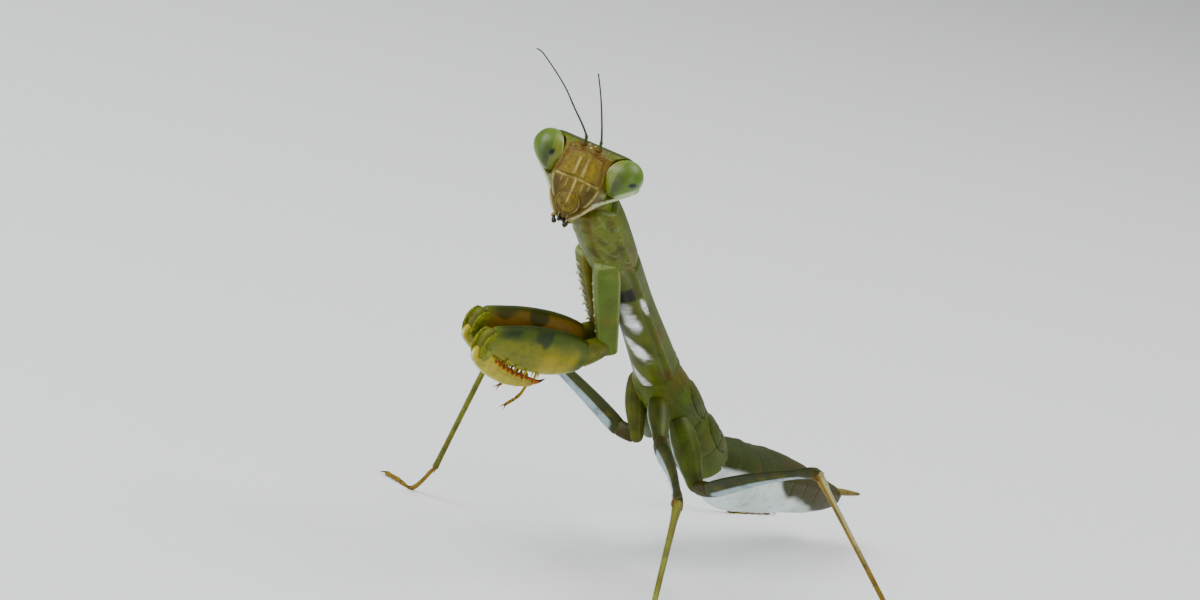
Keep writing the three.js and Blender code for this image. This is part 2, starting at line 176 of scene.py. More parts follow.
def grain_group():
    """Horny skin seen close: soft mottling, fine freckles and a leathery grain."""
    group = bpy.data.node_groups.new("cuticle_grain", "ShaderNodeTree")
    face = group.interface
    face.new_socket(name="Color", in_out="INPUT", socket_type="NodeSocketColor")
    face.new_socket(name="Shade", in_out="INPUT", socket_type="NodeSocketColor")
    for name, value in (("Mottling", 0.5), ("Freckles", 0.3), ("Grain", 0.5), ("Roughness", 0.4)):
        face.new_socket(name=name, in_out="INPUT", socket_type="NodeSocketFloat").default_value = value
    for name, kind in (("Color", "Color"), ("Roughness", "Float"), ("Height", "Float")):
        face.new_socket(name=name, in_out="OUTPUT", socket_type=f"NodeSocket{kind}")
    nodes, links = group.nodes, group.links
    given = nodes.new("NodeGroupInput")
    result = nodes.new("NodeGroupOutput")
    where = nodes.new("ShaderNodeTexCoord")

    def texture(kind, scale, **settings):
        made = set_inputs(nodes.new(kind), {"Scale": scale, **settings})
        links.new(where.outputs["Object"], made.inputs["Vector"])
        return made

    def maths(kind, first, second):
        made = nodes.new("ShaderNodeMath")
        made.operation = kind
        for socket, value in zip(made.inputs, (first, second)):
            if isinstance(value, float):
                socket.default_value = value
            else:
                links.new(value, socket)
        return made.outputs[0]

    def mixed(share, first, kind):
        made = nodes.new("ShaderNodeMix")
        made.data_type = "RGBA"
        made.blend_type = kind
        links.new(share, made.inputs["Factor"])
        links.new(first, made.inputs[6])
        return made

    def shaded(share, first):
        made = mixed(share, first, "MIX")
        links.new(given.outputs["Shade"], made.inputs[7])
        return made.outputs[2]

    def ramp(value, low, high):
        made = nodes.new("ShaderNodeMapRange")
        made.interpolation_type = "SMOOTHSTEP"
        set_inputs(made, {"From Min": low, "From Max": high})
        links.new(value, made.inputs["Value"])
        return made.outputs["Result"]

    blotch = texture("ShaderNodeTexNoise", 1100, Detail=4.0, Roughness=0.6)
    fine = texture("ShaderNodeTexNoise", 5200, Detail=3.0, Roughness=0.65)
    pit = texture("ShaderNodeTexVoronoi", 9000)
    freckle = texture("ShaderNodeTexVoronoi", 3600)
    dark = maths("MULTIPLY", ramp(blotch.outputs["Fac"], 0.48, 0.72), given.outputs["Mottling"])
    tone = shaded(dark, given.outputs["Color"])
    speck = maths("MULTIPLY", ramp(freckle.outputs["Distance"], 0.32, 0.12), given.outputs["Freckles"])
    tone = shaded(speck, tone)
    light = maths("MULTIPLY", ramp(fine.outputs["Fac"], 0.5, 0.8), 0.35)
    paler = mixed(light, tone, "SOFT_LIGHT")
    paler.inputs[7].default_value = (0.8, 0.72, 0.45, 1)
    links.new(paler.outputs[2], result.inputs["Color"])
    rough = maths("ADD", maths("MULTIPLY", fine.outputs["Fac"], 0.22), given.outputs["Roughness"])
    links.new(rough, result.inputs["Roughness"])
    relief = maths("ADD", maths("MULTIPLY", pit.outputs["Distance"], 0.6), fine.outputs["Fac"])
    links.new(maths("MULTIPLY", relief, given.outputs["Grain"]), result.inputs["Height"])
    return group


GRAIN = grain_group()


def new_material(name):
    """A new material, with its nodes, its links and its main shader."""
    material = bpy.data.materials.new(name)
    material.use_nodes = True
    tree = material.node_tree
    return material, tree.nodes, tree.links, tree.nodes["Principled BSDF"]


def paint_and_relief(nodes, links, surface, strength, depth):
    """Reads the skin's own paint, and raises its fine grain by a depth in mm."""
    paint = nodes.new("ShaderNodeAttribute")
    paint.attribute_name = "paint"
    relief = set_inputs(nodes.new("ShaderNodeBump"), {"Strength": strength, "Distance": depth * MM})
    links.new(relief.outputs["Normal"], surface.inputs["Normal"])
    return paint.outputs["Color"], relief.inputs["Height"]


def cuticle(name, shade, mottling, freckles, grain, roughness, coat, glow):
    """A horny skin painted in its own colours. glow is how much light soaks into it."""
    material, nodes, links, surface = new_material(name)
    skin = nodes.new("ShaderNodeGroup")
    skin.node_tree = GRAIN
    set_inputs(skin, {"Shade": (*ink(shade), 1), "Mottling": mottling, "Freckles": freckles,
                      "Grain": grain, "Roughness": roughness})
    painted, height = paint_and_relief(nodes, links, surface, 0.5, 0.03)
    links.new(painted, skin.inputs["Color"])
    links.new(skin.outputs["Color"], surface.inputs["Base Color"])
    links.new(skin.outputs["Roughness"], surface.inputs["Roughness"])
    links.new(skin.outputs["Height"], height)
    set_inputs(surface, {
        "Coat Weight": coat, "Coat Roughness": 0.3, "Coat Tint": (0.97, 0.98, 0.88, 1),
        "Specular IOR Level": 0.26, "Specular Tint": (0.84, 0.92, 0.62, 1),
        "Subsurface Weight": glow, "Subsurface Radius": (1.0, 0.75, 0.35), "Subsurface Scale": 0.3 * MM})
    return material


TRUNK = cuticle("trunk_shell", "2c2a0e", 0.5, 0.3, 0.6, 0.4, 0.05, 0.1)
meso, meta = middle("mesothorax"), middle("metathorax")
pad_spread = middle("wing_pad_fore_left") - middle("wing_pad_fore_right")
mid_axes = axes(meso - meta, pad_spread)
waist = meso + mid_axes[0] * 1.84 * MM
rump = meta - mid_axes[0] * 1.82 * MM
LAP_FRONT, LAP_BACK = 0.5, 0.7
trunk_front = waist + mid_axes[0] * LAP_FRONT * MM
trunk_back = rump - mid_axes[0] * LAP_BACK * MM
TRUNK_LENGTH = (trunk_front - trunk_back).length
MID_SEAM = 0.49
# Each row: how far back, the half width, the height and the depth in mm
trunk_rows = [[0, 1.3, 1.15, 1.35], [0.12, 1.5, 1.3, 1.5], [0.3, 1.72, 1.42, 1.62],
              [0.48, 1.68, 1.4, 1.52], [0.7, 1.86, 1.5, 1.6], [0.9, 1.74, 1.52, 1.5], [1, 1.6, 1.5, 1.4]]


def on_trunk(t, turn, proud=0):
    """A place on the mid body's skin, or proud of it by so many mm."""
    side, up = math.cos(turn), math.sin(turn)
    wide, above, below = between(trunk_rows, t)
    seam = 0.05 * bump(t, MID_SEAM, 0.012) + 0.02 * bump(t, 0.2, 0.012) + 0.02 * bump(t, 0.74, 0.012)
    plates = 0.025 * bump(up, -0.15 + 0.9 * (t * 2 % 1 - 0.5), 0.06) * abs(side)
    plates += 0.03 * bump(up, 0.45, 0.05)
    keel = 0.04 * bump(side, 0, 0.08) if up > 0 else -0.05 * bump(side, 0, 0.12)
    sockets = 0.1 * (bump(t, 0.17, 0.08) + bump(t, 0.46, 0.09)) * bump(up, -0.6, 0.3)
    girth = 0.97 - seam - plates + keel + sockets
    tall = above if up > 0 else below
    out = mid_axes[1] * side * (wide * girth + proud) + mid_axes[2] * up * (tall * girth + proud)
    return trunk_front.lerp(trunk_back, t) + out * MM


def trunk_point(t, turn):
    axis = trunk_front.lerp(trunk_back, t)
    return axis.lerp(on_trunk(t, turn), rounded(t, 0.05))


def trunk_tint(t, turn, place):
    up = math.sin(turn)
    return laid(
        "56601e",
        ("3c4214", 0.5 + 0.7 * cloud(place, 1.1)),
        ("604e1a", 0.6 * ease(0.1, 0.6, cloud(place, 1.7))),
        ("6c6c34", 0.4 * ease(-0.1, -0.7, up)),
        ("241f0c", 0.5 * bump(t, MID_SEAM, 0.02)),
        ("7c7640", 0.2 * bump(up, 0.45, 0.06)))


one_skin("mid_body", trunk_point, trunk_tint, 180, 96, TRUNK, "cuticle", "mesothorax", "metathorax")

# ---- Abdomen ----
# The soft, boat-shaped hind body. A broad olive-brown plate covers the back of each ring and a
# glossy one its belly, painted pale: partly its own colour and partly a painted reflection on the
# gloss. The two meet in a thin side edge, and each plate laps over the next.


def corners_of(node):
    return np.array([v.co[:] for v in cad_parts[node].data.vertices])


def ends(node, near):
    """The two ends of a long CAD node, the one nearest to a place first."""
    corners = corners_of(node)
    centre = corners.mean(axis=0)
    axis = np.linalg.eigh(np.cov((corners - centre).T))[1][:, -1]
    along = (corners - centre) @ axis
    margin = 0.07 * (along.max() - along.min())
    low = Vector(corners[along < along.min() + margin].mean(axis=0))
    high = Vector(corners[along > along.max() - margin].mean(axis=0))
    return (low, high) if (low - near).length < (high - near).length else (high, low)


def slice_of(node, place, own_axes):
    """Where a plane cuts a CAD node: the cut's middle, its half width, and its half height."""
    forward, left, up = own_axes
    shell = bmesh.new()
    shell.from_mesh(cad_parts[node].data)
    bmesh.ops.remove_doubles(shell, verts=shell.verts[:], dist=1e-7)
    everything = shell.verts[:] + shell.edges[:] + shell.faces[:]
    cut = bmesh.ops.bisect_plane(shell, geom=everything, plane_co=place, plane_no=forward)["geom_cut"]
    rim = [v.co - place for v in cut if isinstance(v, bmesh.types.BMVert)]
    across = [p.dot(left) for p in rim]
    tall = [p.dot(up) for p in rim]
    shell.free()
    centre = place + left * (min(across) + max(across)) / 2 + up * (min(tall) + max(tall)) / 2
    return centre, (max(across) - min(across)) / 2, (max(tall) - min(tall)) / 2


def slices(node, start, end, first, run, count, own_axes):
    """Rows of a CAD node's cuts, evenly spaced: how far along, the cut's middle and half sizes."""
    rows = []
    for k in range(count):
        share = first + run * k / (count - 1)
        spot, wide, tall = slice_of(node, start.lerp(end, share), own_axes)
        rows.append([share, *spot, wide, tall])
    return rows


BELLY = cuticle("belly_plates", "3a3414", 0.3, 0.2, 0.45, 0.46, 0.0, 0.2)
ABDOMEN_RINGS, BELLY_PALE_AND_SHEEN = 9, Vector((0.72, 0.8, 0.86))
rear_end, rear_root = ends("abdomen", middle("cercus_left"))
tail = axes(rear_root - rear_end, middle("cercus_left") - middle("cercus_right"))
abdomen_rows = [[0, *(rump + mid_axes[0] * 0.3 * MM), 1.6 * MM, 1.45 * MM],
                *slices("abdomen", rear_root, rear_end, 0.22, 0.76, 12, tail)]
abdomen_rows[-1][0] = 1


def abdomen_point(t, turn):
    *centre, wide, tall = between(abdomen_rows, t)
    side, up = math.cos(turn), math.sin(turn)
    share = ease(0, 0.3, t)
    left = mid_axes[1].lerp(tail[1], share).normalized()
    upward = mid_axes[2].lerp(tail[2], share).normalized()
    ring = (t * ABDOMEN_RINGS) % 1
    lap = 1 + 0.022 * ring - 0.035 * bump(ring, 1.0, 0.05) - 0.015 * bump(ring, 0.0, 0.08)
    edge = 0.07 * bump(up, 0.08, 0.12)
    opening = rounded(t, 0.03)
    girth = (0.94 + edge) * lap * opening
    keel = 0.04 * bump(side, 0, 0.14) * (1 if up > 0 else 0.4)
    rise = upward * (up * 0.97 + keel) * tall * lap * opening
    return Vector(centre) + left * side * wide * girth + rise


def abdomen_tint(t, turn, place):
    side, up = math.cos(turn), math.sin(turn)
    ring = (t * ABDOMEN_RINGS) % 1
    back = laid(
        "363d10",
        ("242809", 0.5 + 0.6 * cloud(place, 1.3)),
        ("4a3c14", 0.5 * ease(0.1, 0.5, cloud(place, 2.1))),
        ("5e5e26", 0.12 * bump(ring, 0.92, 0.08)),
        ("25240c", 0.4 * bump(side, 0, 0.12)),
        ("372c0a", 0.75 * ease(0.35, 0.5, t)))
    # The belly's pale blue-grey is partly its own colour and partly a painted reflection of bright light
    # on its gloss
    belly = laid(
        BELLY_PALE_AND_SHEEN,
        ("a9b298", 0.2 + 0.4 * cloud(place, 1.8)),
        ("8a8a60", 0.3 * bump(ring, 0.98, 0.05)))
    line = 0.16 + 0.1 * cloud(place, 1.2) - 0.1 * ease(0.12, 0.0, t) - 0.6 * ease(0.3, 0.47, t)
    line -= 0.55 * ease(0.5, 0.92, t)
    return laid(belly, (back, ease(line - 0.15, line + 0.08, up)))


one_skin("abdomen_skin", abdomen_point, abdomen_tint, 260, 90, BELLY, "belly", "abdomen")

# ---- Tail feelers ----
# Two short, tapering feelers at the tip of the abdomen, each of a dozen beadlike rings with
# fine hairs round them. They grow from beside the last plate of the back.


def hair(mesh, foot, way, length, thick, colour):
    """One stiff hair: a three-sided cone, rooted in the skin, its length and thickness in mm."""
    length, thick = length * MM, thick * MM
    turn = way.to_track_quat("Z", "Y").to_matrix().to_4x4()
    spot = Matrix.Translation(foot + way.normalized() * length * 0.42) @ turn
    cone = bmesh.ops.create_cone(mesh, segments=3, radius1=thick, radius2=0, depth=length, matrix=spot)
    paint = mesh.verts.layers.float_color["paint"]
    for corner in cone["verts"]:
        corner[paint] = (*ink(colour), 1)


def limb(mesh, spine, rows, top, tint, steps=40, sides=20, blunt=0.05, form=None):
    """A closed limb along spine(t). The rows give its half width, height and depth in mm. In a short
    row the last size stands for the missing ones."""
    rows = [[*row, *row[-1:] * (4 - len(row))] for row in rows]
    table = {}

    def ring(t):
        key = round(t, 5)
        if key not in table:
            way = (spine(min(1, t + 0.01)) - spine(max(0, t - 0.01))).normalized()
            side = top.cross(way).normalized()
            table[key] = (spine(t), side, way.cross(side), between(rows, t))
        return table[key]

    def point(t, turn):
        centre, side, upward, (wide, above, below) = ring(t)
        swell = form(t, turn) if form else 1
        opening = rounded(t, blunt) * swell * MM
        tall = above if math.sin(turn) > 0 else below
        return centre + (side * math.cos(turn) * wide + upward * math.sin(turn) * tall) * opening

    tube(mesh, point, tint, steps, sides)


def straight(a, b):
    return lambda t: a.lerp(b, t)


FEELER_SKIN = cuticle("tail_feeler_skin", "2a2410", 0.4, 0.3, 0.5, 0.4, 0.15, 0.1)
CERCUS_BEADS, CERCUS_HAIRS = 12, 60
CERCUS_HAIR = (0.25, 0.45)
rng = random.Random(7)


def bead(t):
    """1 at the middle of each bead, 0 between them."""
    return abs(math.sin(t * CERCUS_BEADS * math.pi))


def cercus_form(t, turn):
    return 1 + 0.1 * bead(t)


def cercus_tint(t, turn, place):
    return laid("5c4a22", ("8a7a4a", bead(t)))


for side in ("left", "right"):
    tip, root = ends(f"cercus_{side}", rear_end + (rear_end - rear_root))
    root = root.lerp(rear_root, 0.05)
    whisker = new_mesh()
    limb(whisker, straight(root, tip), [[0, 0.22, 0.2], [0.4, 0.2, 0.18], [1, 0.08]], tail[2],
         cercus_tint, 120, 14, 0.06, cercus_form)
    for _ in range(CERCUS_HAIRS):
        t = rng.uniform(0.05, 0.95)
        way = Vector([rng.gauss(0, 1) for _ in range(3)]).normalized() + (tip - root).normalized() * 0.5
        hair(whisker, root.lerp(tip, t), way, rng.uniform(*CERCUS_HAIR), 0.008, "3a3018")
    finish(whisker, f"tail_feeler_{side}", FEELER_SKIN, "cuticle", f"cercus_{side}")

# ---- Wing pads ----
# A young mantis has four short leathery flaps instead of wings. They hug the back of the mid
# body, with the veins of the wings to come showing through.
PAD = cuticle("wing_pad_leather", "2c2a0e", 0.5, 0.4, 0.8, 0.4, 0.08, 0.15)
SIDES = (("left", 1), ("right", -1))
PAD_VEINS, PAD_TURN, PAD_SPAN = 5, 0.66, 0.55
pad_rows = [[0, 0.5, 0.08], [0.25, 0.85, 0.13], [0.6, 0.95, 0.14], [0.85, 0.75, 0.12], [1, 0.4, 0.08]]


def along_trunk(place):
    return (trunk_front - place).dot(mid_axes[0]) / TRUNK_LENGTH


for pair in ("fore", "hind"):
    for side, sign in SIDES:
        node = f"wing_pad_{pair}_{side}"
        root, tip = ends(node, waist)
        start, stop = along_trunk(root) - 0.03, along_trunk(tip) + 0.03
        centre_turn = math.pi / 2 - sign * PAD_TURN

        def pad_point(t, turn):
            half, proud = between(pad_rows, t)
            across, up = math.cos(turn), math.sin(turn)
            opening = rounded(t, 0.3)
            ribs = 1 - 0.25 * abs(math.sin(PAD_VEINS * across * math.pi / 2))
            rise = proud * ribs * up**0.5 if up > 0 else 0.3 * up
            round_at = centre_turn + across * half * opening * PAD_SPAN
            return on_trunk(start + (stop - start) * t, round_at, rise * opening)

        def pad_tint(t, turn, place):
            vein = 1 - abs(math.sin(PAD_VEINS * math.cos(turn) * math.pi / 2)) ** 0.5
            return laid("4c4e1c", ("343612", 0.5 + 0.6 * cloud(place, 0.5)),
                        ("686434", 0.2 * vein + 0.25 * ease(0.9, 1.0, t)))

        one_skin(f"wing_pad_skin_{pair}_{side}", pad_point, pad_tint, 80, 72, PAD, "cuticle", node)

# ---- Prothorax ----
# The long first ring, hinged to the mid body by soft skin. A horny saddle covers its back, with a
# fine keel along the middle, a cross groove over the fore hips and a row of tiny teeth down each
# side edge. Its underside is glossy, with pale patches of painted highlight on it.
CHEST = cuticle("chest_shell", "3a3010", 0.5, 0.35, 0.5, 0.36, 0.07, 0.1)
chest_rear, chest_front = ends("prothorax", waist)
hips = ends("fore_left_coxa", middle("head"))[0] - ends("fore_right_coxa", middle("head"))[0]
chest = axes(chest_front - chest_rear, hips)
chest_rows = slices("prothorax", chest_front, chest_rear, 0.015, 0.97, 16, chest)
chest_rows[0][0] = 0
chest_rows[-1][0] = 1
CHEST_SEAM, BLACK_BAND, SADDLE_TEETH = 0.27, 0.415, 330


def chest_point(t, turn):
    *centre, wide, tall = between(chest_rows, t)
    side, up = math.cos(turn), math.sin(turn)
    edge = 0.08 * bump(up, 0.12, 0.09) * (1 + 0.12 * math.sin(t * SADDLE_TEETH))
    keel = 0.07 * bump(side, 0, 0.07) * ease(0.3, 0.4, t) if up > 0 else 0
    groove = 0.06 * bump(t, CHEST_SEAM, 0.012) * ease(0.0, 0.3, up)
    fold = 0.05 * bump(up, -0.12, 0.05)
    flare = 0.05 * ease(0.94, 1.0, t)
    girth = (0.94 + edge + keel + flare - groove - fold) * rounded(t, 0.022)
    collar = 0.09 * ease(0.3, 0.05, t) * ease(-0.2, 0.6, up)
    girth += 0.13 * ease(0.36, 0.2, t) * ease(0.2, -0.5, up) + collar
    reach = (1.3 + 0.7 * ease(0.4, -0.5, up)) * ease(0.3, 0.0, t)
    centre = Vector(centre) + chest[0] * (reach - 0.75 * ease(0.6, 1.0, t)) * MM
    return centre + (chest[1] * side * wide + chest[2] * up * tall) * girth


# Painted highlights under the chest, pale blue-white patches that stand in for gloss: how far back and
# where round it each lies, its half length and half width, its slant, and how strongly each is painted
PAINTED_GLINTS = [(0.59, -0.9, 0.062, 0.42, 0.06, 0.97), (0.53, 0.04, 0.05, 0.11, 0.1, 0.97),
         (0.765, -1.05, 0.042, 0.5, 0.09, 0.97), (0.93, -1.3, 0.035, 0.4, 0.1, 0.6),
         (0.5, -0.95, 0.04, 0.35, 0, 0.4)]
# A pale blue-white: the colour of the painted highlights under the chest, and a tint that pales the fore
# hip knobs
GLINT_AND_KNOB_WHITE = Vector((0.92, 0.95, 1.0))


def chest_tint(t, turn, place):
    up = math.sin(turn)
    front = ease(0.3, 0.2, t) * ease(0.45, 0.2, up)
    fold_ridges = abs(cloud(place + Vector((0, 0, 3)) * MM, 0.7))
    stem = bump(t, 0.07, 0.07) * bump(turn, -0.95, 0.12) + bump(t, 0.03, 0.025) * bump(turn, -0.95, 0.35)
    flank = laid(
        "5f662a",
        ("464818", 0.5 + 0.8 * cloud(place, 1.3)),
        ("584218", 0.75 * ease(0.05, 0.45, cloud(place * 1.3, 1.0))),
        ("787c40", 0.5 * ease(0.3, 0.1, t)))
    ridge = laid("475222", ("525022", 0.5 + 0.5 * cloud(place, 0.9)))
    under = laid(
        "666a30",
        ("4c4a22", 0.5 + 0.7 * cloud(place, 0.8)),
        ("74763c", 0.6 * ease(0.3, 0.1, t)))
    colour = laid(
        flank,
        (ridge, ease(0.3, 0.75, up)),
        (under, ease(-0.1, -0.4, up)),
        ("7a7638", 0.3 * bump(up, 0.12, 0.05)),
        # Front of the underside: dark blotches are partly its own brown mottling and partly painted shade
        # in the hollows of the membrane folds, and pale lines along the fold ridges are partly painted
        # highlight
        ("3e3a16", 0.65 * front * ease(0.1, 0.4, cloud(place, 0.65))),
        ("92966c", 0.4 * front * ease(0.09, 0.02, fold_ridges)),
        ("5a3a18", min(0.6, 0.6 * stem)))
    streaks = 0.5 * cloud(place, 0.5) + 0.35 * cloud(Vector((turn * 0.7, t * 14, 0)) * MM, 0.22)
    # Each painted highlight is a soft, streaky pale patch laid over the underside's colour
    for at, round_at, long, wide, slant, thick in PAINTED_GLINTS:
        patch = bump(t, at + slant * (turn - round_at), long) * bump(turn, round_at, wide)
        colour = laid(colour, (GLINT_AND_KNOB_WHITE, thick * ease(0.1, 0.75, patch * (1 + streaks))))
    band = ease(0.055, 0.035, abs(t - BLACK_BAND)) * ease(-0.05, -0.25, up)
    return laid(colour, ("010201", band))


one_skin("prothorax_skin", chest_point, chest_tint, 300, 96, CHEST, "cuticle", "prothorax")

# ---- Head ----
# The triangular head capsule: a flat shield between the eyes under the feeler sockets, the clypeus
# below it, and wide cheeks behind that narrow in a straight line to the jaws, with cream edges.
eye_left, eye_right = middle("eye_left"), middle("eye_right")
brow = (eye_left + eye_right) / 2
JAW_LEAN = 0.085
face_left = (eye_left - eye_right).normalized()
down = middle("jaws") - brow
down = Matrix.Rotation(JAW_LEAN, 3, face_left) @ (down - face_left * down.dot(face_left)).normalized()
face_forward = face_left.cross(-down).normalized()
face_up = -down


def on_head(aside, ahead, above):
    """A place on the head in mm: to its left, ahead, and up from the middle between the eyes."""
    return brow + (face_left * aside + face_forward * ahead + face_up * above) * MM


def in_head(place):
    way = (place - brow) / MM
    return way.dot(face_left), way.dot(face_forward), way.dot(face_up)


# Each row: the height, the cheeks' half width, the face's half width, then how far ahead the
# face, the cheeks and the back of the head lie
HEAD_TOP, HEAD_FOOT = 1.12, -3.1
head_rows = [[-3.1, 0.28, 0.15, 0.42, 0.36, 0.05], [-2.6, 0.76, 0.5, 0.55, 0.42, -0.1],
             [-2.2, 1.04, 0.75, 0.66, 0.38, -0.28], [-1.9, 1.28, 0.92, 0.76, 0.3, -0.4],
             [-1.5, 1.64, 1.1, 0.9, 0.16, -0.55], [-1.1, 2.12, 1.2, 0.96, 0.0, -0.7],
             [-0.7, 2.56, 1.2, 0.99, -0.15, -0.85], [-0.25, 2.92, 1.17, 0.99, -0.3, -0.95],
             [0.3, 2.65, 1.17, 0.94, -0.3, -0.95], [0.7, 2.3, 1.24, 0.8, -0.2, -0.85],
             [1.0, 2.15, 1.6, 0.48, -0.06, -0.66], [1.12, 2.0, 1.7, 0.25, -0.1, -0.5]]


def shield_half(z):
    return 1.1 - 0.2 * ease(-0.7, 0.4, z)


def shield_mask(x, z):
    """1 on the raised shield between the eyes, 0 outside it."""
    top = 0.56 - 0.24 * abs(x)
    low = z + 0.78 + 0.06 * abs(x)
    return ease(0, 0.05, top - z) * ease(0, 0.05, low) * ease(0, 0.06, shield_half(z) - abs(x))


def clypeus_mask(x, z):
    half = 1.05 + 0.5 * (z + 0.85)
    return ease(0, 0.05, -0.88 - z) * ease(0, 0.05, z + 1.66) * ease(0, 0.06, half - abs(x))


def head_relief(x, z):
    """How far the face stands out in mm: its shields, ridges, grooves and the feelers' sockets."""
    rise = 0.08 * shield_mask(x, z) + 0.06 * clypeus_mask(x, z)
    rise += 0.035 * (bump(x, 0.24, 0.035) + bump(x, -0.24, 0.035)) * shield_mask(x, z)
    rise -= 0.05 * bump(z, -0.83 - 0.05 * abs(x), 0.03) * (abs(x) < 1.15)
    rise -= 0.05 * bump(abs(x), shield_half(z) + 0.08, 0.03) * ease(-0.9, -0.7, z)
    rise += 0.1 * bump(math.hypot(abs(x) - 0.42, z - 0.84), 0.17, 0.06)
    rise += 0.05 * bump(x, 0, 0.05) * clypeus_mask(x, z)
    rise += 0.05 * bump(z, 0.72 - 0.1 * abs(x), 0.07) * ease(0.6, 0.75, abs(x))
    return rise


def head_point(t, turn):
    z = HEAD_TOP + (HEAD_FOOT - HEAD_TOP) * t
    wide, core, face_y, cheek_y, back_y = between(head_rows, z)
    side, up = math.cos(turn), math.sin(turn)
    share = abs(side) ** 0.85
    x = math.copysign(wide * share, side)
    rim_y = cheek_y - 0.16
    if up > 0:
        beside = ease(core + 0.05, core + 0.4, abs(x))
        face = face_y - 0.1 * (x / core) ** 2 + head_relief(x, z) * (1 - beside)
        front = face * (1 - beside) + cheek_y * beside
        y = rim_y + (front - rim_y) * math.sqrt(max(0, 1 - share**7))
    else:
        y = rim_y + (back_y - rim_y) * math.sqrt(max(0, 1 - share**2.4))
    opening = rounded(t, 0.025)
    middle_y = (cheek_y + back_y) / 2
    return on_head(x * (0.85 + 0.15 * opening), middle_y + (y - middle_y) * opening, z)


def head_tint(t, turn, place):
    x, y, z = in_head(place)
    wide, core = between(head_rows, z)[:2]
    centre_lines = bump(x, 0.24, 0.04) + bump(x, -0.24, 0.04)
    loops = bump(math.hypot(abs(x) - 0.42, z - 0.84), 0.2, 0.04)
    loops += 0.8 * bump(math.hypot(abs(x) - 0.9, z - 0.62), 0.14, 0.04)
    framing = bump(abs(x), shield_half(z) + 0.05, 0.045) * ease(-0.95, -0.7, z) * ease(0.6, 0.4, z)
    framing += bump(z, 0.62 - 0.24 * abs(x), 0.045) * ease(1.1, 0.9, abs(x))
    clear = ease(-0.2, 0.1, cloud(place, 0.3))
    lines = centre_lines * ease(-0.75, -0.6, z) * ease(0.42, 0.25, z)
    lines += 0.9 * bump(x, 0, 0.045) * ease(-1.66, -1.5, z) * ease(-0.85, -1.0, z)
    lines += 1.0 * bump(z, -0.86 - 0.05 * abs(x), 0.055) * (0.45 + 0.55 * clear) * ease(1.2, 1.1, abs(x))
    lines += 0.5 * bump(abs(x), 0.42, 0.03) * ease(-1.5, -1.35, z) * ease(-0.95, -1.1, z)
    lines += 0.5 * bump(abs(x), 0.75, 0.03) * ease(-1.3, -1.2, z) * ease(-0.95, -1.05, z)
    lines += 0.7 * bump(abs(x), core + 0.04, 0.05) * ease(-0.9, -1.2, z) * ease(-2.7, -2.4, z)
    face = laid(
        "7a683a",
        ("60522a", 0.5 + 0.7 * cloud(place, 0.5)),
        ("988444", 0.5 * ease(-0.1, 0.5, cloud(place, 0.2)) * shield_mask(x, z)),
        ("8e7a3e", 0.4 * bump(abs(x), 0.55, 0.12) * shield_mask(x, z)),
        # Painted shade: darker low on the face to each side, in the recess beside the lip and jaws
        ("443612", 0.85 * ease(-0.9, -1.3, z) * ease(0.35, 0.85, abs(x))),
        ("6a4a20", 0.5 * ease(0.15, 0.5, cloud(place, 0.35))),
        ("5f6a2c", 0.7 * ease(0.55, 0.8, z) * ease(0.5, 1.0, abs(x))),
        ("5a2e10", min(0.7, 0.7 * framing + 0.7 * loops)),
        ("2c3a10", 0.85 * ease(0.93, 1.05, z)),
        ("d8c88c", min(0.85, 0.85 * lines)))
    rim = ease(0.26, 0.12, wide - abs(x)) * ease(0.1, -0.3, z)
    cheek = laid(
        "6e6c38",
        ("48411c", 0.5 + 0.7 * cloud(place, 0.4)),
        ("b8bc8a", 0.7 * ease(-0.1, 0.4, cloud(place, 0.35)) * ease(-1.6, -1.2, z)))
    return laid(
        face,
        (cheek, ease(core + 0.1, core + 0.3, abs(x)) * ease(-0.6, -0.8, z)),
        ("e6e2c0", 0.9 * rim),
        ("6d7034", ease(-0.3, -0.6, y)))


FACE = cuticle("face_shell", "46300e", 0.4, 0.5, 1.0, 0.36, 0.12, 0.08)
# The three bead eyes on the brow: how far aside and up each sits, and its radius
OCELLI = ((0, 0.8, 0.075), (0.16, 0.95, 0.07), (-0.16, 0.95, 0.07))
skull = new_mesh()
tube(skull, head_point, head_tint, 260, 260)
paint = skull.verts.layers.float_color["paint"]
for aside, above, size in OCELLI:
    ahead = between(head_rows, above)[2] - 0.02
    spot = Matrix.Translation(on_head(aside, ahead, above))
    bead_eye = bmesh.ops.create_icosphere(skull, subdivisions=3, radius=size * MM, matrix=spot)
    for corner in bead_eye["verts"]:
        corner[paint] = (*ink("cfc088"), 1)
finish(skull, "head_capsule", FACE, "face", "head", "jaws")

# ---- Eyes ----
# Two big domes at the upper corners of the head, each of thousands of facets under one clear
# skin. A dark spot shows where the facets look straight out, and a pale rim holds each dome.
EYE, nodes, links, surface = new_material("compound_eye")
where = nodes.new("ShaderNodeTexCoord")
facet = set_inputs(nodes.new("ShaderNodeTexVoronoi"), {"Scale": 26000})
veil = set_inputs(nodes.new("ShaderNodeTexNoise"), {"Scale": 1700, "Detail": 5})
tone = nodes.new("ShaderNodeMix")
tone.data_type = "RGBA"
tone.blend_type = "OVERLAY"
tone.inputs["Factor"].default_value = 0.4
painted, height = paint_and_relief(nodes, links, surface, 0.25, 0.006)
links.new(where.outputs["Object"], facet.inputs["Vector"])
links.new(where.outputs["Object"], veil.inputs["Vector"])
links.new(painted, tone.inputs[6])
links.new(veil.outputs["Fac"], tone.inputs[7])
links.new(tone.outputs[2], surface.inputs["Base Color"])
links.new(facet.outputs["Distance"], height)
set_inputs(surface, {
    "Roughness": 0.42, "Specular IOR Level": 0.35, "Coat Weight": 0.2, "Coat Roughness": 0.25,
    "Subsurface Weight": 0.2, "Subsurface Radius": (0.8, 1.0, 0.35), "Subsurface Scale": 0.4 * MM})

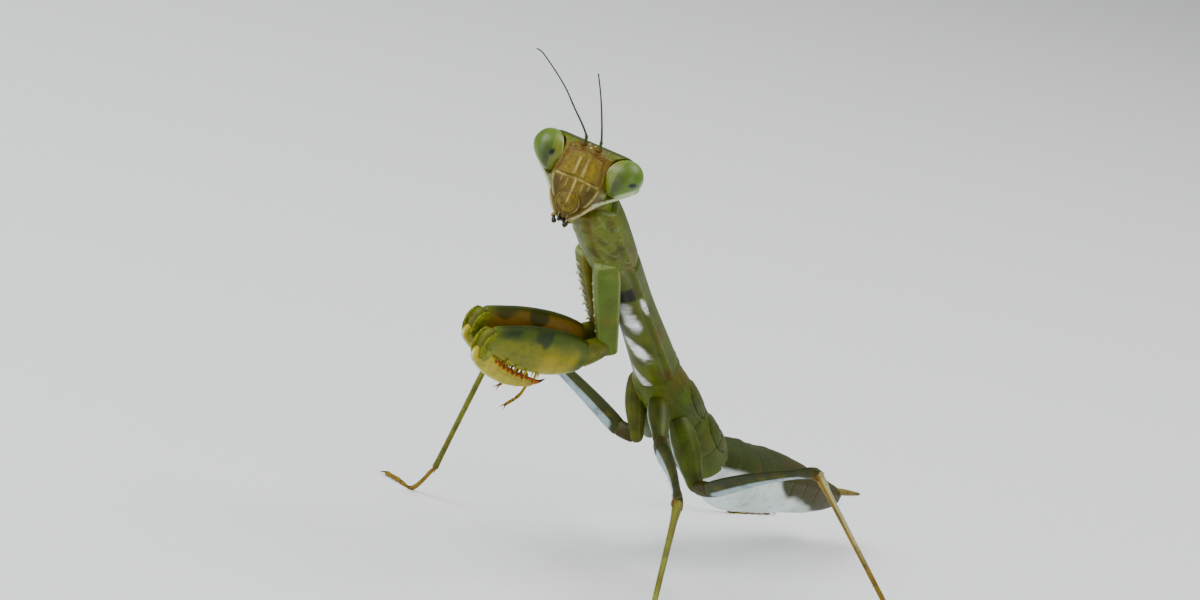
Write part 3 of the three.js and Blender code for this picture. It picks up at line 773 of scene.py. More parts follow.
EYE_OUT, EYE_AHEAD, EYE_ABOVE = 2.11, -0.02, -0.06
EYE_REACH, EYE_DEEP, EYE_TALL = 0.9, 1.0, 1.1
EYE_TILT = math.radians(12)
# The cheek's rim cuts the dome off below and outside: which way it faces, how far out it lies, and
# how softly it presses
EDGE_WAY, EDGE_AT, EDGE_SOFT = (0.6385, -0.7697), 1.6, 1.0
# Each dark spot: how far left and up it lies on the head, and its half sizes
PUPILS = {"left": (2.72, -0.1, 0.15, 0.1), "right": (-1.74, -0.14, 0.115, 0.155)}


def on_eye(sign, across, ahead, above):
    """A place on an eye in mm, from its own middle: outwards, ahead and up along its tilted axis."""
    out = across * math.cos(EYE_TILT) + above * math.sin(EYE_TILT)
    rise = above * math.cos(EYE_TILT) - across * math.sin(EYE_TILT)
    out, rise = EYE_OUT + out, EYE_ABOVE + rise
    beyond = EDGE_WAY[0] * out + EDGE_WAY[1] * rise - EDGE_AT
    if beyond > 0:
        pressed = EDGE_SOFT * (1 - math.exp(-beyond / EDGE_SOFT)) - beyond
        out, rise = out + EDGE_WAY[0] * pressed, rise + EDGE_WAY[1] * pressed
    return on_head(sign * out, EYE_AHEAD + ahead, rise)


for side, sign in SIDES:
    def eye_point(t, turn):
        swing = math.pi * (t - 0.5)
        round_turn = math.sin(turn)
        if swing > 0:
            girth = math.cos(swing)
            across = EYE_REACH * math.sin(swing)
        else:
            girth = (1 - 0.2 * math.sin(swing) ** 2) * rounded(t, 0.06)
            across = EYE_REACH * math.sin(swing) * (1 - 0.3 * round_turn**2)
        return on_eye(sign, across, EYE_DEEP * girth * math.cos(turn), EYE_TALL * girth * round_turn)

    def eye_tint(t, turn, place):
        x, y, z = in_head(place)
        out = math.sin(math.pi * (t - 0.5))
        above = math.sin(turn) * (math.cos(math.pi * (t - 0.5)) if out > 0 else 1)
        edge = EDGE_WAY[0] * sign * x + EDGE_WAY[1] * z
        inner = out + 0.15 * above
        colour = laid(
            "606e30",
            # Painted light: a darker middle and a lighter outer half stand in for light shining through
            # the clear eye, fixed on the dome
            ("3a421c", bump(out, -0.1, 0.45) * bump(above, -0.35, 0.6)),
            ("647c36", 0.8 * ease(0.25, 0.7, out)),
            ("7c7c3c", 0.85 * ease(-0.3, -0.55, inner)),
            ("9a9c60", 0.45 * bump(inner, -0.4, 0.03) + 0.3 * bump(inner, -0.62, 0.03)),
            # Painted light: the lighter rim where light shines through the dome's thin edge
            ("7c9050", 0.55 * ease(0.8, 0.98, max(out, above))),
            ("b8b480", 0.6 * bump(out, -0.95, 0.05)),
            ("cfd2a8", 0.85 * ease(2.0, 2.1, edge)))
        pupil_x, pupil_z, half_x, half_z = PUPILS[side]
        reach = math.hypot((x - pupil_x) / half_x, (z - pupil_z - 0.4 * (x - pupil_x)) / half_z)
        if y > 0:
            ring = 0.5 * ease(2.2, 1.2, reach)
            return laid(colour, ("3a4a1c", ring), ("060804", ease(1.25, 0.8, reach)))
        return colour

    one_skin(f"eye_dome_{side}", eye_point, eye_tint, 180, 180, EYE, "eye", f"eye_{side}")

# ---- Mouth ----
# Below the clypeus hangs the round upper lip. Dark-tipped jaws close behind it from both sides,
# and jointed palps hang from the chin. All are horn, hinged on soft skin.
LIP = cuticle("lip_shell", "33240c", 0.6, 0.6, 1.2, 0.38, 0.15, 0.1)
LIP_HALF, LIP_ABOVE = 0.64, -2.16


def lip_point(t, turn):
    polar = math.pi * t
    x = LIP_HALF * math.sin(polar) * math.cos(turn)
    z = LIP_ABOVE + LIP_HALF * 0.97 * math.cos(polar)
    y = 0.76 + 0.18 * (z - LIP_ABOVE) + 0.2 * math.sin(polar) * math.sin(turn)
    if math.sin(turn) > 0:
        reach = math.hypot(x, z - LIP_ABOVE) / LIP_HALF
        y += 0.04 * bump(x, 0, 0.06) + 0.03 * bump(reach, 0.94, 0.05) - 0.02 * bump(reach, 0.85, 0.05)
    return on_head(x, y, z)


def lip_tint(t, turn, place):
    x, _, z = in_head(place)
    reach = math.hypot(x, z - LIP_ABOVE) / LIP_HALF
    return laid(
        "7d6c36",
        ("54441c", 0.5 + 0.8 * cloud(place, 0.25)),
        ("c7b57a", 0.7 * bump(x, 0, 0.045) * ease(-2.35, -2.0, z)),
        ("3a2c12", 0.5 * bump(reach, 0.85, 0.05)),
        ("a89660", 0.6 * ease(0.9, 0.98, reach)))


one_skin("upper_lip", lip_point, lip_tint, 110, 110, LIP, "face", "labrum")

JAW = cuticle("jaw_shell", "2c1608", 0.4, 0.3, 0.6, 0.25, 0.3, 0.1)
# The joints of a jaw palp and of a chin palp on the head, and how finely each piece is made
PALPS = (([(0.3, 0.42, -2.75), (0.46, 0.55, -2.9), (0.42, 0.62, -3.1), (0.22, 0.68, -3.36)], 24),
         ([(0.12, 0.3, -2.85), (0.16, 0.42, -2.98), (0.07, 0.5, -3.16)], 20))
palp_rows = [[0, 0.08], [0.6, 0.13], [1, 0.12]]


def jaw_tint(t, turn, place):
    return laid(
        "5c4a20",
        ("1c1208", ease(0.85, 0.98, t)),
        ("dccea0", 0.85 * ease(0.4, 0.8, abs(math.cos(turn)))))


def palp_tint(t, turn, place):
    return laid("8c8050", ("4e4020", ease(0.6, 1.0, t)))


def black_tint(t, turn, place):
    return ink("0b0906")


jaws = new_mesh()
for sign in (1, -1):
    limb(jaws, straight(on_head(sign * 1.12, 0.34, -1.75), on_head(sign * 0.22, 0.6, -2.98)),
         [[0, 0.16], [0.4, 0.26, 0.14], [0.8, 0.2, 0.12], [1, 0.08, 0.07]], face_forward * sign,
         jaw_tint, 60, 32, 0.12)
    for spots, steps in PALPS:
        joints = [on_head(sign * x, y, z) for x, y, z in spots]
        for joint, following in zip(joints, joints[1:]):
            tint = black_tint if following is joints[-1] else palp_tint
            limb(jaws, straight(joint, following), palp_rows, face_forward, tint, steps, 14, 0.2)
finish(jaws, "jaws_and_palps", JAW, "face")

# ---- Feelers ----
# Two long horny threads from sockets on the brow: a stout base piece, a short second one, then
# scores of tiny rings that thin towards the tip.
THREAD = cuticle("feeler_thread", "10140a", 0.3, 0.2, 0.4, 0.4, 0.2, 0.0)
FEELER_RINGS = 67
feeler_rows = [[0, 0.13], [0.04, 0.12], [0.06, 0.08], [0.09, 0.085], [0.12, 0.055], [1, 0.032]]


def along(path, start=0, stop=1):
    """A curved line through the places in a path's rows, or the part of it from start to stop."""
    return lambda t: Vector(between(path, start + (stop - start) * t))


def thread_form(t, turn):
    return 1 + 0.14 * math.sin(t * FEELER_RINGS * 2 * math.pi)


def thread_tint(t, turn, place):
    return laid("44521e", ("1c2612", ease(0.03, 0.2, t)), ("8a5a2a", 0.7 * ease(0.05, 0.0, t)))


for side, sign in SIDES:
    node = f"antenna_{side}"
    corners = corners_of(node)
    root, tip = ends(node, brow)
    reach = (corners - np.array(root)) @ np.array((tip - root).normalized())
    feeler_path = [[0, *on_head(sign * 0.42, 0.72, 0.84)], [0.1, *on_head(sign * 0.42, 0.98, 1.3)]]
    for share in (0.35, 0.62, 0.85, 1):
        level = min(share, 0.97) * (tip - root).length
        near = np.abs(reach - level) < 0.8 * MM
        feeler_path.append([share, *corners[near].mean(axis=0)])
    feeler = new_mesh()
    limb(feeler, along(feeler_path), feeler_rows, face_left, thread_tint, 420, 10, 0.01, thread_form)
    finish(feeler, f"feeler_{side}", THREAD, "feeler", node)

# ---- Neck ----
# The short tube of soft folded skin that joins the head to the first ring, with a small horny
# plate let into each side.
NECK = cuticle("neck_skin", "4a3c1c", 0.5, 0.2, 0.7, 0.38, 0.1, 0.15)
throat = on_head(0, -0.4, -0.75)
nape = chest_front - chest[0] * 1.3 * MM - chest[2] * 0.2 * MM
NECK_FOLDS = 40
neck_rows = [[0, 1.1, 0.9, 1.3], [0.4, 1.18, 0.98, 1.42], [0.75, 1.15, 0.9, 1.35], [1, 0.9, 0.7, 1.0]]


def neck_form(t, turn):
    plates = 0.03 * bump(math.sin(turn), -0.3, 0.12) * bump(t, 0.5, 0.2)
    return 1 + 0.025 * math.sin(t * NECK_FOLDS + 1.5 * math.sin(2 * turn)) + plates


def neck_tint(t, turn, place):
    return laid(
        "7c8046",
        ("5c6028", 0.5 + 0.7 * cloud(place, 0.6)),
        ("6a4a22", 0.5 * ease(0.1, 0.5, cloud(place, 0.9))))


neck = new_mesh()
limb(neck, straight(nape, throat), neck_rows, chest[2], neck_tint, 90, 60, 0.08, neck_form)
finish(neck, "neck_skin", NECK, "cuticle", "neck")

# ---- Fore legs ----
# The catching legs, of horn, hinged under the front of the first ring: a long squared hip piece
# with a row of pale knobs, a swollen thigh with spines along its lower edge and lobes at the knee,
# and a short shin with a comb of teeth and a strong end claw.


def horn(mesh, foot, tip, radius, bend, colour, point_colour):
    """A curved spine, its radius in mm. bend is a small sideways vector at its middle, and the last
    colour is that of its point."""
    elbow = foot.lerp(tip, 0.5) + bend

    def curve(t):
        return foot.lerp(elbow, t).lerp(elbow.lerp(tip, t), t)

    def tint(t, turn, place):
        return laid(colour, (point_colour, ease(0.4, 0.75, t)))

    up = (tip - foot).cross(bend + Vector((0.0001, 0.0002, 0.0003)) * MM).normalized()
    limb(mesh, curve, [[0, radius], [0.4, radius * 0.7], [1, radius * 0.06]], up, tint, 14, 9, 0.02)


FORE = cuticle("fore_leg_shell", "34401f", 0.35, 0.35, 0.6, 0.38, 0.06, 0.2)
# The hip piece's colour, then the thigh's middle, top, lower and spot colours, on each face
OUTER_FACE = [ink(code) for code in ("68763c", "807a2e", "4c5522", "aa9a3e", "122414")]
INNER_FACE = [ink(code) for code in ("7c6e34", "8c6c2c", "7a6226", "90702e", "33340f")]


def face_tones(outward):
    """A leg's colours, brown on the face that looks at the other leg and green on the outer one."""
    share = ease(-0.2, 0.2, outward)
    return [inner.lerp(outer, share) for inner, outer in zip(INNER_FACE, OUTER_FACE)]


def foot_pieces(mesh, path, stops, rows, top, tint, steps, blunt):
    """The short pieces of a foot, one behind the other along a path."""
    for start, stop in zip(stops, stops[1:]):
        limb(mesh, along(path, start, stop), rows, top, tint, steps, 16, blunt)


def joint_tint(t, turn, place):
    return laid("77763a", ("4f4620", 0.5 + 0.6 * cloud(place, 0.4)))


def toe_tint(t, turn, place):
    return laid("9c7c36", ("6a4a1e", ease(0.7, 1.0, t)))


LEG_PIECES = ("coxa", "trochanter", "femur", "tibia", "tarsus")
# How far each hip piece is rolled about its length, and how big its knobs are
HIP_TURN, KNOB_SIZE = {"left": 0.5, "right": 0.0}, {"left": 0.5, "right": 1.0}
HIP_KNOBS, THIGH_SPINES, THIGH_TEETH, SHIN_TEETH = 9, 4, 7, 9
# Where the foot's pieces meet, and how much of the foot stands clear of the shin
TOE_STOPS, TOE_SHOWN = (0, 0.46, 0.65, 0.78, 0.87, 1), 0.72
coxa_rows = [[0, 0.46, 0.6, 0.6], [0.08, 0.52, 0.74, 0.74], [0.3, 0.53, 0.78, 0.76],
             [0.75, 0.46, 0.66, 0.64], [1, 0.42, 0.56, 0.56]]
thigh_rows = [[0, 0.38, 0.6, 0.75], [0.12, 0.5, 0.95, 1.15], [0.36, 0.56, 1.2, 1.42],
              [0.62, 0.54, 1.2, 1.28], [0.86, 0.47, 1.0, 0.74], [1, 0.44, 0.82, 0.42]]
shin_rows = [[0, 0.28, 0.4, 0.5], [0.25, 0.29, 0.42, 0.62], [0.7, 0.25, 0.34, 0.5], [1, 0.18, 0.2, 0.24]]

for side, sign in SIDES:
    leg = f"fore_{side}"
    hip, elbow_end = ends(f"{leg}_coxa", middle("head"))
    thigh_root, thigh_end = ends(f"{leg}_femur", elbow_end)
    way = (thigh_end - thigh_root).normalized()
    flexor = middle(f"{leg}_tibia") - thigh_root
    flexor = (flexor - way * flexor.dot(way)).normalized()
    across = way.cross(flexor).normalized()
    if across.dot(chest[1]) < 0:
        across = -across
    shin_root, shin_tip = ends(f"{leg}_tibia", thigh_end)
    shin_way = (shin_tip - shin_root).normalized()
    coxa_way = (elbow_end - hip).normalized()
    coxa_front = (way - coxa_way * way.dot(coxa_way)).normalized()
    coxa_front = Matrix.Rotation(HIP_TURN[side], 3, coxa_way) @ coxa_front
    coxa_side = chest[1] * sign
    coxa_outward = math.copysign(1, coxa_front.cross(coxa_way).dot(coxa_side))
    thigh_outward = math.copysign(1, way.cross(flexor).dot(coxa_side))
    arm = new_mesh()

    def coxa_form(t, turn):
        boxy = (abs(math.cos(turn)) ** 4 + abs(math.sin(turn)) ** 4) ** -0.25
        return 0.93 * boxy - 0.03 * bump(math.cos(turn), 0.45, 0.1)

    def coxa_tint(t, turn, place):
        side_on, up = math.cos(turn), math.sin(turn)
        corner = bump(abs(up), 0.72, 0.07) * ease(0.0, 0.3, side_on * sign)
        return laid(
            face_tones(side_on * coxa_outward)[0],
            ("4f5826", 0.4 + 0.6 * cloud(place, 0.9)),
            ("74602a", 0.5 * ease(0.0, 0.5, cloud(place, 1.6))),
            ("a8a876", 0.5 * corner),
            ("bcbc8a", 0.5 * bump(t, 0.035, 0.02)),
            ("5a5426", 0.5 * ease(0.9, 1.0, t)))

    limb(arm, straight(hip - coxa_way * 0.3 * MM, elbow_end + coxa_way * 0.15 * MM), coxa_rows,
         coxa_front, coxa_tint, 130, 56, 0.05, coxa_form)
    size = KNOB_SIZE[side]
    for k in range(HIP_KNOBS):
        t = 0.12 + 0.088 * k
        high = between(coxa_rows, t)[1] * 0.97 - 0.05
        foot = hip.lerp(elbow_end, t) + (coxa_front * high + coxa_side * 0.1) * MM
        grown = (0.28 if k % 2 else 0.2) * size
        horn(arm, foot, foot + (coxa_front * grown + coxa_way * 0.05) * MM, 0.06 + 0.1 * size,
             coxa_way * 0.01 * MM, laid("c8c690", (GLINT_AND_KNOB_WHITE, 0.4 * size)), "d8cfa0")

    limb(arm, straight(elbow_end - coxa_way * 0.45 * MM, thigh_root + way * 0.7 * MM),
         [[0, 0.42, 0.52], [0.5, 0.5, 0.66, 0.76], [1, 0.44, 0.7, 0.9]], -flexor,
         joint_tint, 50, 40, 0.25)

    def thigh_form(t, turn):
        side_on = math.cos(turn)
        ribs = 0.02 * bump(side_on, 0.55, 0.06) + 0.02 * bump(side_on, -0.55, 0.06)
        groove = 0.1 * bump(side_on, 0, 0.3) * ease(0.3, 0.45, t) if math.sin(turn) < 0 else 0
        return 1 + ribs - groove

    def thigh_tint(t, turn, place):
        up = math.sin(turn)
        middle_tone, top_tone, low_tone, spot_tone = face_tones(math.cos(turn) * thigh_outward)[1:]
        lobe = 0.3 * cloud(place, 0.9)
        yellow = ease(0.08, 0.26, t) * ease(0.56, 0.4, t + 0.2 * lobe) * ease(0.3, -0.3, up + lobe)
        ragged = 0.25 * cloud(place, 0.45)
        blot = ease(1.1, 0.7, math.hypot((t - 0.53) / 0.1, (up - 0.95) / 0.75) + ragged)
        blot += 0.85 * ease(1.15, 0.65, math.hypot((t - 0.85) / 0.13, (up - 0.95) / 0.5) + ragged)
        return laid(
            middle_tone,
            (top_tone, ease(0.2, 0.8, up + 0.5 * cloud(place, 1.1))),
            (low_tone, 0.9 * yellow),
            (top_tone, 0.8 * ease(0.17, 0.1, t)),
            (spot_tone, min(0.88, 0.95 * blot)),
            ("30380f", 0.85 * ease(0.8, 0.95, up)),
            ("5a5c24", 0.3 * bump(up, -0.25, 0.04) * ease(0.45, 0.6, t)),
            ("c9c07a", 0.45 * bump(up, -0.85, 0.1)),
            ("6f7430", 0.5 * bump(t, 0.97, 0.06)))

    limb(arm, straight(thigh_root, thigh_end), thigh_rows, -flexor, thigh_tint, 160, 72, 0.05, thigh_form)
    limb(arm, straight(thigh_end - way * 0.5 * MM, thigh_end + (way * 0.42 + flexor * 0.1) * MM),
         [[0, 0.4, 0.7, 0.6], [0.5, 0.42, 0.78, 0.8], [1, 0.34, 0.6, 0.74]], -flexor,
         joint_tint, 50, 40, 0.4)
    for flank in (1, -1):
        outward = across * flank
        for k in range(THIGH_SPINES):
            t = 0.44 + 0.11 * k
            low = between(thigh_rows, t)[2]
            foot = thigh_root.lerp(thigh_end, t) + (outward * 0.36 + flexor * (low - 0.3)) * MM
            spike = foot + (flexor * (0.75 - 0.08 * k) + outward * 0.16 + way * 0.2) * MM
            horn(arm, foot, spike, 0.09, way * -0.05 * MM, "a99a50", "5a3416")
        for k in range(THIGH_TEETH):
            t = 0.4 + 0.062 * k
            low = between(thigh_rows, t)[2]
            foot = thigh_root.lerp(thigh_end, t) + (outward * 0.26 + flexor * (low - 0.2)) * MM
            tooth = foot + (flexor * 0.36 + outward * 0.05) * MM
            horn(arm, foot, tooth, 0.05, way * -0.02 * MM, "a99a50", "4a1c0c")
        lobe = thigh_end + (outward * 0.35 - way * 0.04 + flexor * 0.16) * MM
        turned = Matrix((across, way, flexor)).transposed().to_4x4()
        spot = Matrix.Translation(lobe) @ turned @ Matrix.Diagonal((0.2 * MM, 0.5 * MM, 0.84 * MM, 1))
        knob = bmesh.ops.create_icosphere(arm, subdivisions=5, radius=1, matrix=spot)["verts"]
        paint = arm.verts.layers.float_color["paint"]
        for corner in knob:
            near = noise.voronoi(corner.co / (0.27 * MM))[0]
            net = ease(0.16, 0.04, near[1] - near[0])
            tone = laid("969040", ("6c6c2e", 0.5 + 1.0 * cloud(corner.co, 0.5)), ("3c3e16", 0.6 * net))
            corner[paint] = (*tone, 1)
            corner.co += (corner.co - lobe) * (0.1 * cloud(corner.co, 0.3) - 0.05 * net)

    shin_up = -(flexor - shin_way * flexor.dot(shin_way)).normalized()

    def shin_line(t):
        return shin_root.lerp(shin_tip, t * 0.92) - shin_up * (0.36 * math.sin(math.pi * t)) * MM

    def shin_tint(t, turn, place):
        up = math.sin(turn)
        return laid(
            "c4b866",
            ("a2984c", 0.5 + 0.7 * cloud(place, 0.6)),
            ("8a6a30", 0.5 * bump(up, 0.0, 0.05) * ease(0.3, 0.4, t)),
            ("ece8c0", 0.75 * ease(-0.86, -0.97, up)),
            ("8a4a1e", 0.6 * ease(0.8, 1.0, t)))

    limb(arm, shin_line, shin_rows, shin_up, shin_tint, 110, 48, 0.07)
    for flank in (1, -1):
        for k in range(SHIN_TEETH):
            foot = shin_line(0.3 + 0.075 * k) + (across * flank * 0.2 + shin_up * 0.2) * MM
            spike = foot + (across * flank * 0.3 + shin_up * 0.22 + shin_way * 0.16) * MM
            horn(arm, foot, spike, 0.1, shin_way * -0.03 * MM, "a85a26", "6a1c0c")
    claw_root = shin_line(0.9)
    horn(arm, claw_root, claw_root + (shin_way * 1.25 + shin_up * 0.6) * MM, 0.2,
         shin_way * 0.25 * MM - shin_up * 0.18 * MM, "a8632a", "2a1008")

    ankle, toe = ends(f"{leg}_tarsus", shin_tip)
    toe = ankle.lerp(toe, TOE_SHOWN)
    foot_path = [[0, *shin_line(0.93)], [0.22, *ankle], [1, *toe]]
    foot_pieces(arm, foot_path, TOE_STOPS, [[0, 0.07], [0.8, 0.1, 0.09], [1, 0.08]], across,
                toe_tint, 30, 0.1)
    for flank in (1, -1):
        claw = toe + (across * flank * 0.16 + (toe - ankle).normalized() * 0.28 + flexor * 0.12) * MM
        horn(arm, toe, claw, 0.05, flexor * -0.05 * MM, "5a3416", "1c0c06")
    finish(arm, f"{leg}_skin", FORE, "fore_leg", *(f"{leg}_{piece}" for piece in LEG_PIECES))

# ---- Walking legs ----
# Four slim legs of horn, hinged into the sides of the mid body: a conical hip piece, a small ring
# joint, a ridged thigh with lobes at the knee, a straight thin shin with two end spurs and fine
# hairs, and a foot of five pieces with two claws.
WALK = cuticle("walking_leg_shell", "26220c", 0.5, 0.35, 0.5, 0.4, 0.05, 0.1)
# The colours of each leg's hip piece, thigh and shin
WALK_COLOURS = {
    "mid_left": ("54581f", "3e3f16", "8a8c4c"), "mid_right": ("5f5e26", "34360f", "8c8e4e"),
    "hind_left": ("50581f", "3a3f14", "94762c"), "hind_right": ("545820", "3c3f16", "7c7438"),
}
# How thick each pair's thighs and ring joints are, then its hip pieces
LEG_GIRTHS = {"mid": (0.9, 0.75), "hind": (0.95, 0.97)}
FOOT_STOPS = (0, 0.44, 0.62, 0.74, 0.83, 0.98)
SOLE, CLAW_HEIGHT = 0.16 * MM, 0.05 * MM
LEG_HAIRS, LEG_HAIR = 260, (0.1, 0.22)
SKYWARD = Vector((0, 0, 1))
hip_rows = [[0, 0.4, 0.45], [0.25, 0.72, 0.78], [0.5, 0.78, 0.82], [0.8, 0.54, 0.58]]
ring_rows = [[0, 0.36, 0.42], [0.5, 0.42, 0.5], [1, 0.36, 0.5]]
walk_thigh_rows = [[0, 0.34, 0.48, 0.48], [0.1, 0.38, 0.54, 0.54], [0.35, 0.34, 0.48, 0.46],
                   [0.8, 0.24, 0.3, 0.3], [0.93, 0.28, 0.36, 0.38], [1, 0.26, 0.32, 0.34]]
walk_shin_rows = [[0, 0.22, 0.25], [0.06, 0.24, 0.28], [0.14, 0.18, 0.19], [0.6, 0.145, 0.155],
                  [0.92, 0.15, 0.16], [1, 0.19, 0.19]]
knuckle_rows = [[0, 0.1], [0.75, 0.13, 0.13, 0.14], [1, 0.13, 0.12, 0.15]]


def scaled(rows, size):
    return [[t, *(value * size for value in values)] for t, *values in rows]


def ridged(t, turn):
    return 1 + 0.05 * math.cos(4 * turn)


def hip_form(t, turn):
    return 1 + 0.04 * math.cos(3 * turn) - 0.05 * bump(math.cos(turn), 0.2, 0.06)


def ring_tint(t, turn, place):
    return laid("443c18", ("2a240e", 0.5 + 0.6 * cloud(place, 0.3)))


def lobe_tint(t, turn, place):
    return ink("5e4520")


def foot_tint(t, turn, place):
    return laid("836a30", ("3e2e12", ease(0.65, 1.0, t)))


for leg, (hip_tone, thigh_tone, shin_tone) in WALK_COLOURS.items():
    size, girth = LEG_GIRTHS[leg.split("_")[0]]
    hip, hip_end = ends(f"{leg}_coxa", waist.lerp(rump, 0.5) + mid_axes[2] * 2 * MM)
    thigh_root, knee = ends(f"{leg}_femur", hip_end)
    ankle = ends(f"{leg}_tibia", knee)[1]
    toe = ends(f"{leg}_tarsus", ankle)[1]
    way = (knee - thigh_root).normalized()
    shin_way = (ankle - knee).normalized()
    bend_axis = way.cross(shin_way).normalized()
    thigh_up = bend_axis.cross(way).normalized()
    if thigh_up.z < 0:
        thigh_up = -thigh_up
    limbs = new_mesh()

    def hip_tint(t, turn, place):
        # Painted highlight: a pale blue-white gleam along one side of the hip piece
        painted_gleam = ease(0.1, 0.25, t) * ease(0.95, 0.75, t) * bump(abs(turn), 2.62, 0.34)
        return laid(
            hip_tone,
            ("3a3812", 0.4 + 0.7 * cloud(place, 0.8)),
            ("84824a", 0.25 * bump(math.cos(turn), 0.75, 0.07)),
            ("cfd6dc", 0.75 * ease(0.35, 0.8, painted_gleam + 0.3 * cloud(place, 0.6))),
            ("3c2c10", 0.5 * ease(0.88, 1.0, t)))

    hip_way = (hip_end - hip).normalized()
    limb(limbs, straight(hip - hip_way * 1.0 * MM, hip_end + hip_way * 0.15 * MM),
         [*scaled(hip_rows, girth), [1, 0.34, 0.38]], mid_axes[0], hip_tint, 110, 52, 0.1, hip_form)
    limb(limbs, straight(hip_end - hip_way * 0.15 * MM, thigh_root + way * 0.3 * MM),
         scaled(ring_rows, size), thigh_up, ring_tint, 40, 30, 0.2)

    def thigh_tint(t, turn, place):
        up = math.sin(turn)
        # Painted highlight: a pale blue-white gleam along the thigh's lower side
        painted_gleam = ease(0.2, -0.1, up) * ease(0.95, 0.85, t) * ease(0.02, 0.1, t)
        return laid(
            thigh_tone,
            ("262a0e", 0.4 + 0.8 * cloud(place, 1.0)),
            ("6a5a26", 0.4 * ease(0.1, 0.5, cloud(place * 1.2, 0.7))),
            ("20240c", 0.7 * ease(0.5, 0.8, up)),
            ("c3cdd6", 0.8 * ease(0.3, 0.8, painted_gleam + 0.3 * cloud(place, 1.2))),
            ("2c280e", 0.6 * ease(0.86, 0.95, t)))

    def thigh_line(t):
        bow = thigh_up * 0.22 * MM * math.sin(math.pi * t)
        return (thigh_root - way * 0.1 * MM).lerp(knee + way * 0.12 * MM, t) + bow

    thigh_table = scaled(walk_thigh_rows, size)
    limb(limbs, thigh_line, thigh_table, thigh_up, thigh_tint, 140, 40, 0.03, ridged)
    for flank in (1, -1):
        lobe_root = knee - way * 0.3 * MM + bend_axis * flank * 0.2 * MM
        lobe_tip = knee + (shin_way * 0.42 + way * 0.12) * MM + bend_axis * flank * 0.26 * MM
        limb(limbs, straight(lobe_root, lobe_tip), [[0, 0.1, 0.2], [0.5, 0.08, 0.18], [1, 0.03, 0.05]],
             way, lobe_tint, 20, 16, 0.2)

    def shin_tint(t, turn, place):
        return laid(
            shin_tone,
            ("5a4c1c", 0.35 + 0.7 * cloud(place, 1.6)),
            ("e0d8b0", 0.75 * bump(math.sin(turn), 0.9, 0.14) * ease(0.7, 0.4, t)),
            ("3e2c14", 0.6 * ease(0.95, 1.0, t) + 0.5 * ease(0.05, 0.0, t)))

    limb(limbs, straight(knee - shin_way * 0.05 * MM, ankle + shin_way * 0.08 * MM), walk_shin_rows,
         -thigh_up, shin_tint, 140, 30, 0.02, ridged)
    foot_way = Vector((toe.x - ankle.x, toe.y - ankle.y, 0)).normalized()
    landing = ankle.lerp(toe, 0.36)
    landing.z = SOLE
    end = Vector((toe.x, toe.y, SOLE))
    track = [[0, *ankle], [0.34, *landing], [0.7, *landing.lerp(end, 0.55)], [1, *end]]
    foot_pieces(limbs, track, FOOT_STOPS, knuckle_rows, SKYWARD, foot_tint, 36, 0.08)
    side_way = SKYWARD.cross(foot_way)
    for flank in (1, -1):
        tip = end + (foot_way * 0.34 + side_way * flank * 0.2) * MM
        tip.z = CLAW_HEIGHT
        horn(limbs, end, tip, 0.055, SKYWARD * (0.08 * MM), "5a3416", "140a06")
        spur = ankle + side_way * flank * 0.1 * MM
        horn(limbs, spur, spur + (shin_way * 0.45 + foot_way * 0.2 + side_way * flank * 0.14) * MM, 0.05,
             side_way * flank * 0.03 * MM, "8a6a34", "2a180a")
    for k in range(LEG_HAIRS):
        t = rng.uniform(0.02, 0.98)
        a, b, rows = (thigh_root, knee, thigh_table) if k % 2 else (knee, ankle, walk_shin_rows)
        turn = rng.uniform(-math.pi, math.pi)
        run = (b - a).normalized()
        out = bend_axis * math.cos(turn) + run.cross(bend_axis).normalized() * math.sin(turn)
        reach = between(rows, t)[0] * 0.9
        hair(limbs, a.lerp(b, t) + out * reach * MM, out + run * 0.9, rng.uniform(*LEG_HAIR), 0.007,
             "3a2c14")
    finish(limbs, f"{leg}_skin", WALK, "walking_leg", *(f"{leg}_{piece}" for piece in LEG_PIECES))

# ---- Floor, light and camera ----
# A plain sheet of pale paper under the animal, four soft round lamps over and in front of it, and
# a view from its front left, leaning a little to one side.
PAPER, nodes, links, surface = new_material("pale_paper")
weave = set_inputs(nodes.new("ShaderNodeTexNoise"), {"Scale": 900})
where = nodes.new("ShaderNodeTexCoord")
shade = set_inputs(nodes.new("ShaderNodeMapRange"), {"To Min": 0.78, "To Max": 0.82})
tint = nodes.new("ShaderNodeCombineColor")
links.new(where.outputs["Object"], weave.inputs["Vector"])
links.new(weave.outputs["Fac"], shade.inputs["Value"])
for channel in ("Red", "Green", "Blue"):
    links.new(shade.outputs["Result"], tint.inputs[channel])
links.new(tint.outputs["Color"], surface.inputs["Base Color"])
surface.inputs["Roughness"].default_value = 0.9
FLOOR_RADIUS = 2.0
ground = bmesh.new()
bmesh.ops.create_circle(ground, cap_ends=True, segments=96, radius=FLOOR_RADIUS)
sheet = bpy.data.meshes.new("floor")
ground.to_mesh(sheet)
ground.free()
sheet.materials.append(PAPER)
floor = bpy.data.objects.new("floor", sheet)
bpy.context.scene.collection.objects.link(floor)

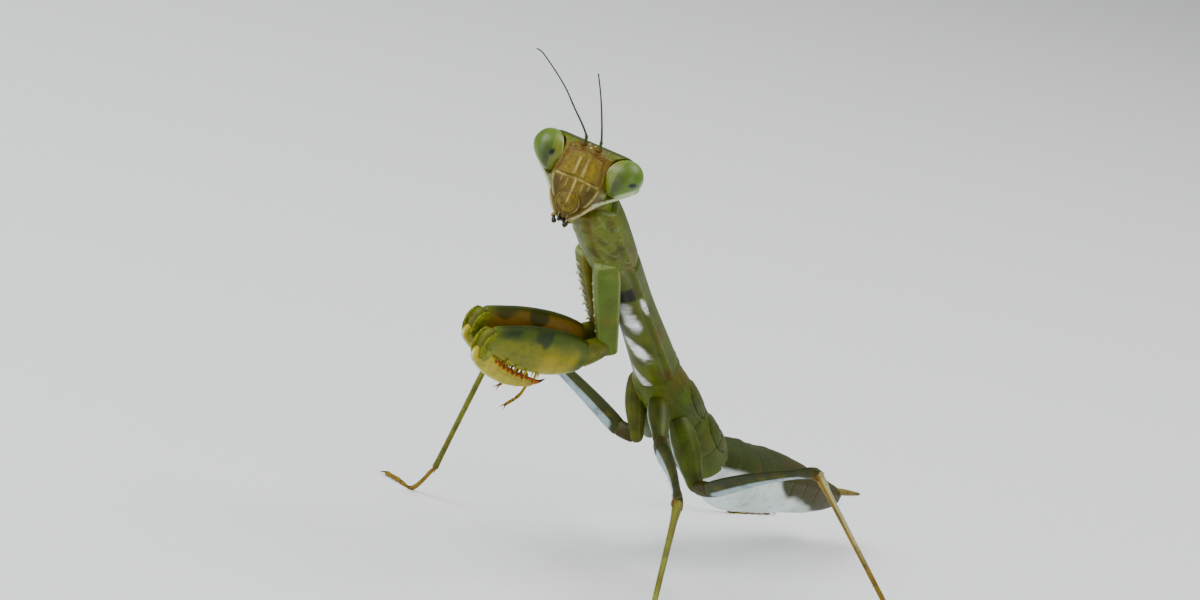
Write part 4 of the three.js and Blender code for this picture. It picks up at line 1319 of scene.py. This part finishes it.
# The view's angles, how far away it is, and how far the lens looks past the middle of the animal,
# to one side and above
AZIMUTH, HEIGHT, LEAN = (math.radians(angle) for angle in (41.493, 10.543, 13.586))
AWAY, ASIDE, ABOVE = 0.220, -0.002116, 0.002736
AIM = Vector((-0.001510, -0.004433, 0.0120))
towards = Vector((math.sin(AZIMUTH) * math.cos(HEIGHT), -math.cos(AZIMUTH) * math.cos(HEIGHT),
                  math.sin(HEIGHT)))
level = Vector((math.cos(AZIMUTH), math.sin(AZIMUTH), 0))
upright = towards.cross(level)
right = level * math.cos(LEAN) + upright * math.sin(LEAN)
over = upright * math.cos(LEAN) - level * math.sin(LEAN)
lens = bpy.data.cameras.new("camera")
lens.lens = 124.61
lens.sensor_width = 36
lens.clip_start = 0.005
lens.clip_end = 20
camera = bpy.data.objects.new("camera", lens)
eye_place = Matrix.Translation(AIM + right * ASIDE + over * ABOVE + towards * AWAY)
camera.matrix_world = eye_place @ Matrix((right, over, towards)).transposed().to_4x4()
bpy.context.scene.collection.objects.link(camera)
bpy.context.scene.camera = camera

# Each lamp: where it hangs from the middle of the animal, its width, its power and its colour
LAMPS = {
    "window": ((-0.10, -0.22, 0.30), 0.30, 1.5, (0.93, 0.97, 1.0)),
    "sky": ((0.12, 0.18, 0.38), 0.36, 1.6, (0.95, 1.0, 0.96)),
    "glow": ((0.36, -0.02, 0.10), 0.24, 0.35, (1.0, 0.95, 0.85)),
    "low_fill": ((-0.06, -0.34, 0.02), 0.30, 0.55, (0.96, 0.98, 1.0)),
}
for name, (offset, size, power, colour) in LAMPS.items():
    light = bpy.data.lights.new(name, "AREA")
    light.shape = "DISK"
    light.size = size
    light.energy = power
    light.color = colour
    lamp = bpy.data.objects.new(name, light)
    lamp.location = AIM + Vector(offset)
    lamp.rotation_euler = (lamp.location - AIM).to_track_quat("Z", "Y").to_euler()
    bpy.context.scene.collection.objects.link(lamp)
world = bpy.data.worlds.new("room")
world.use_nodes = True
set_inputs(world.node_tree.nodes["Background"], {"Color": (0.86, 0.9, 0.86, 1), "Strength": 0.45})
bpy.context.scene.world = world
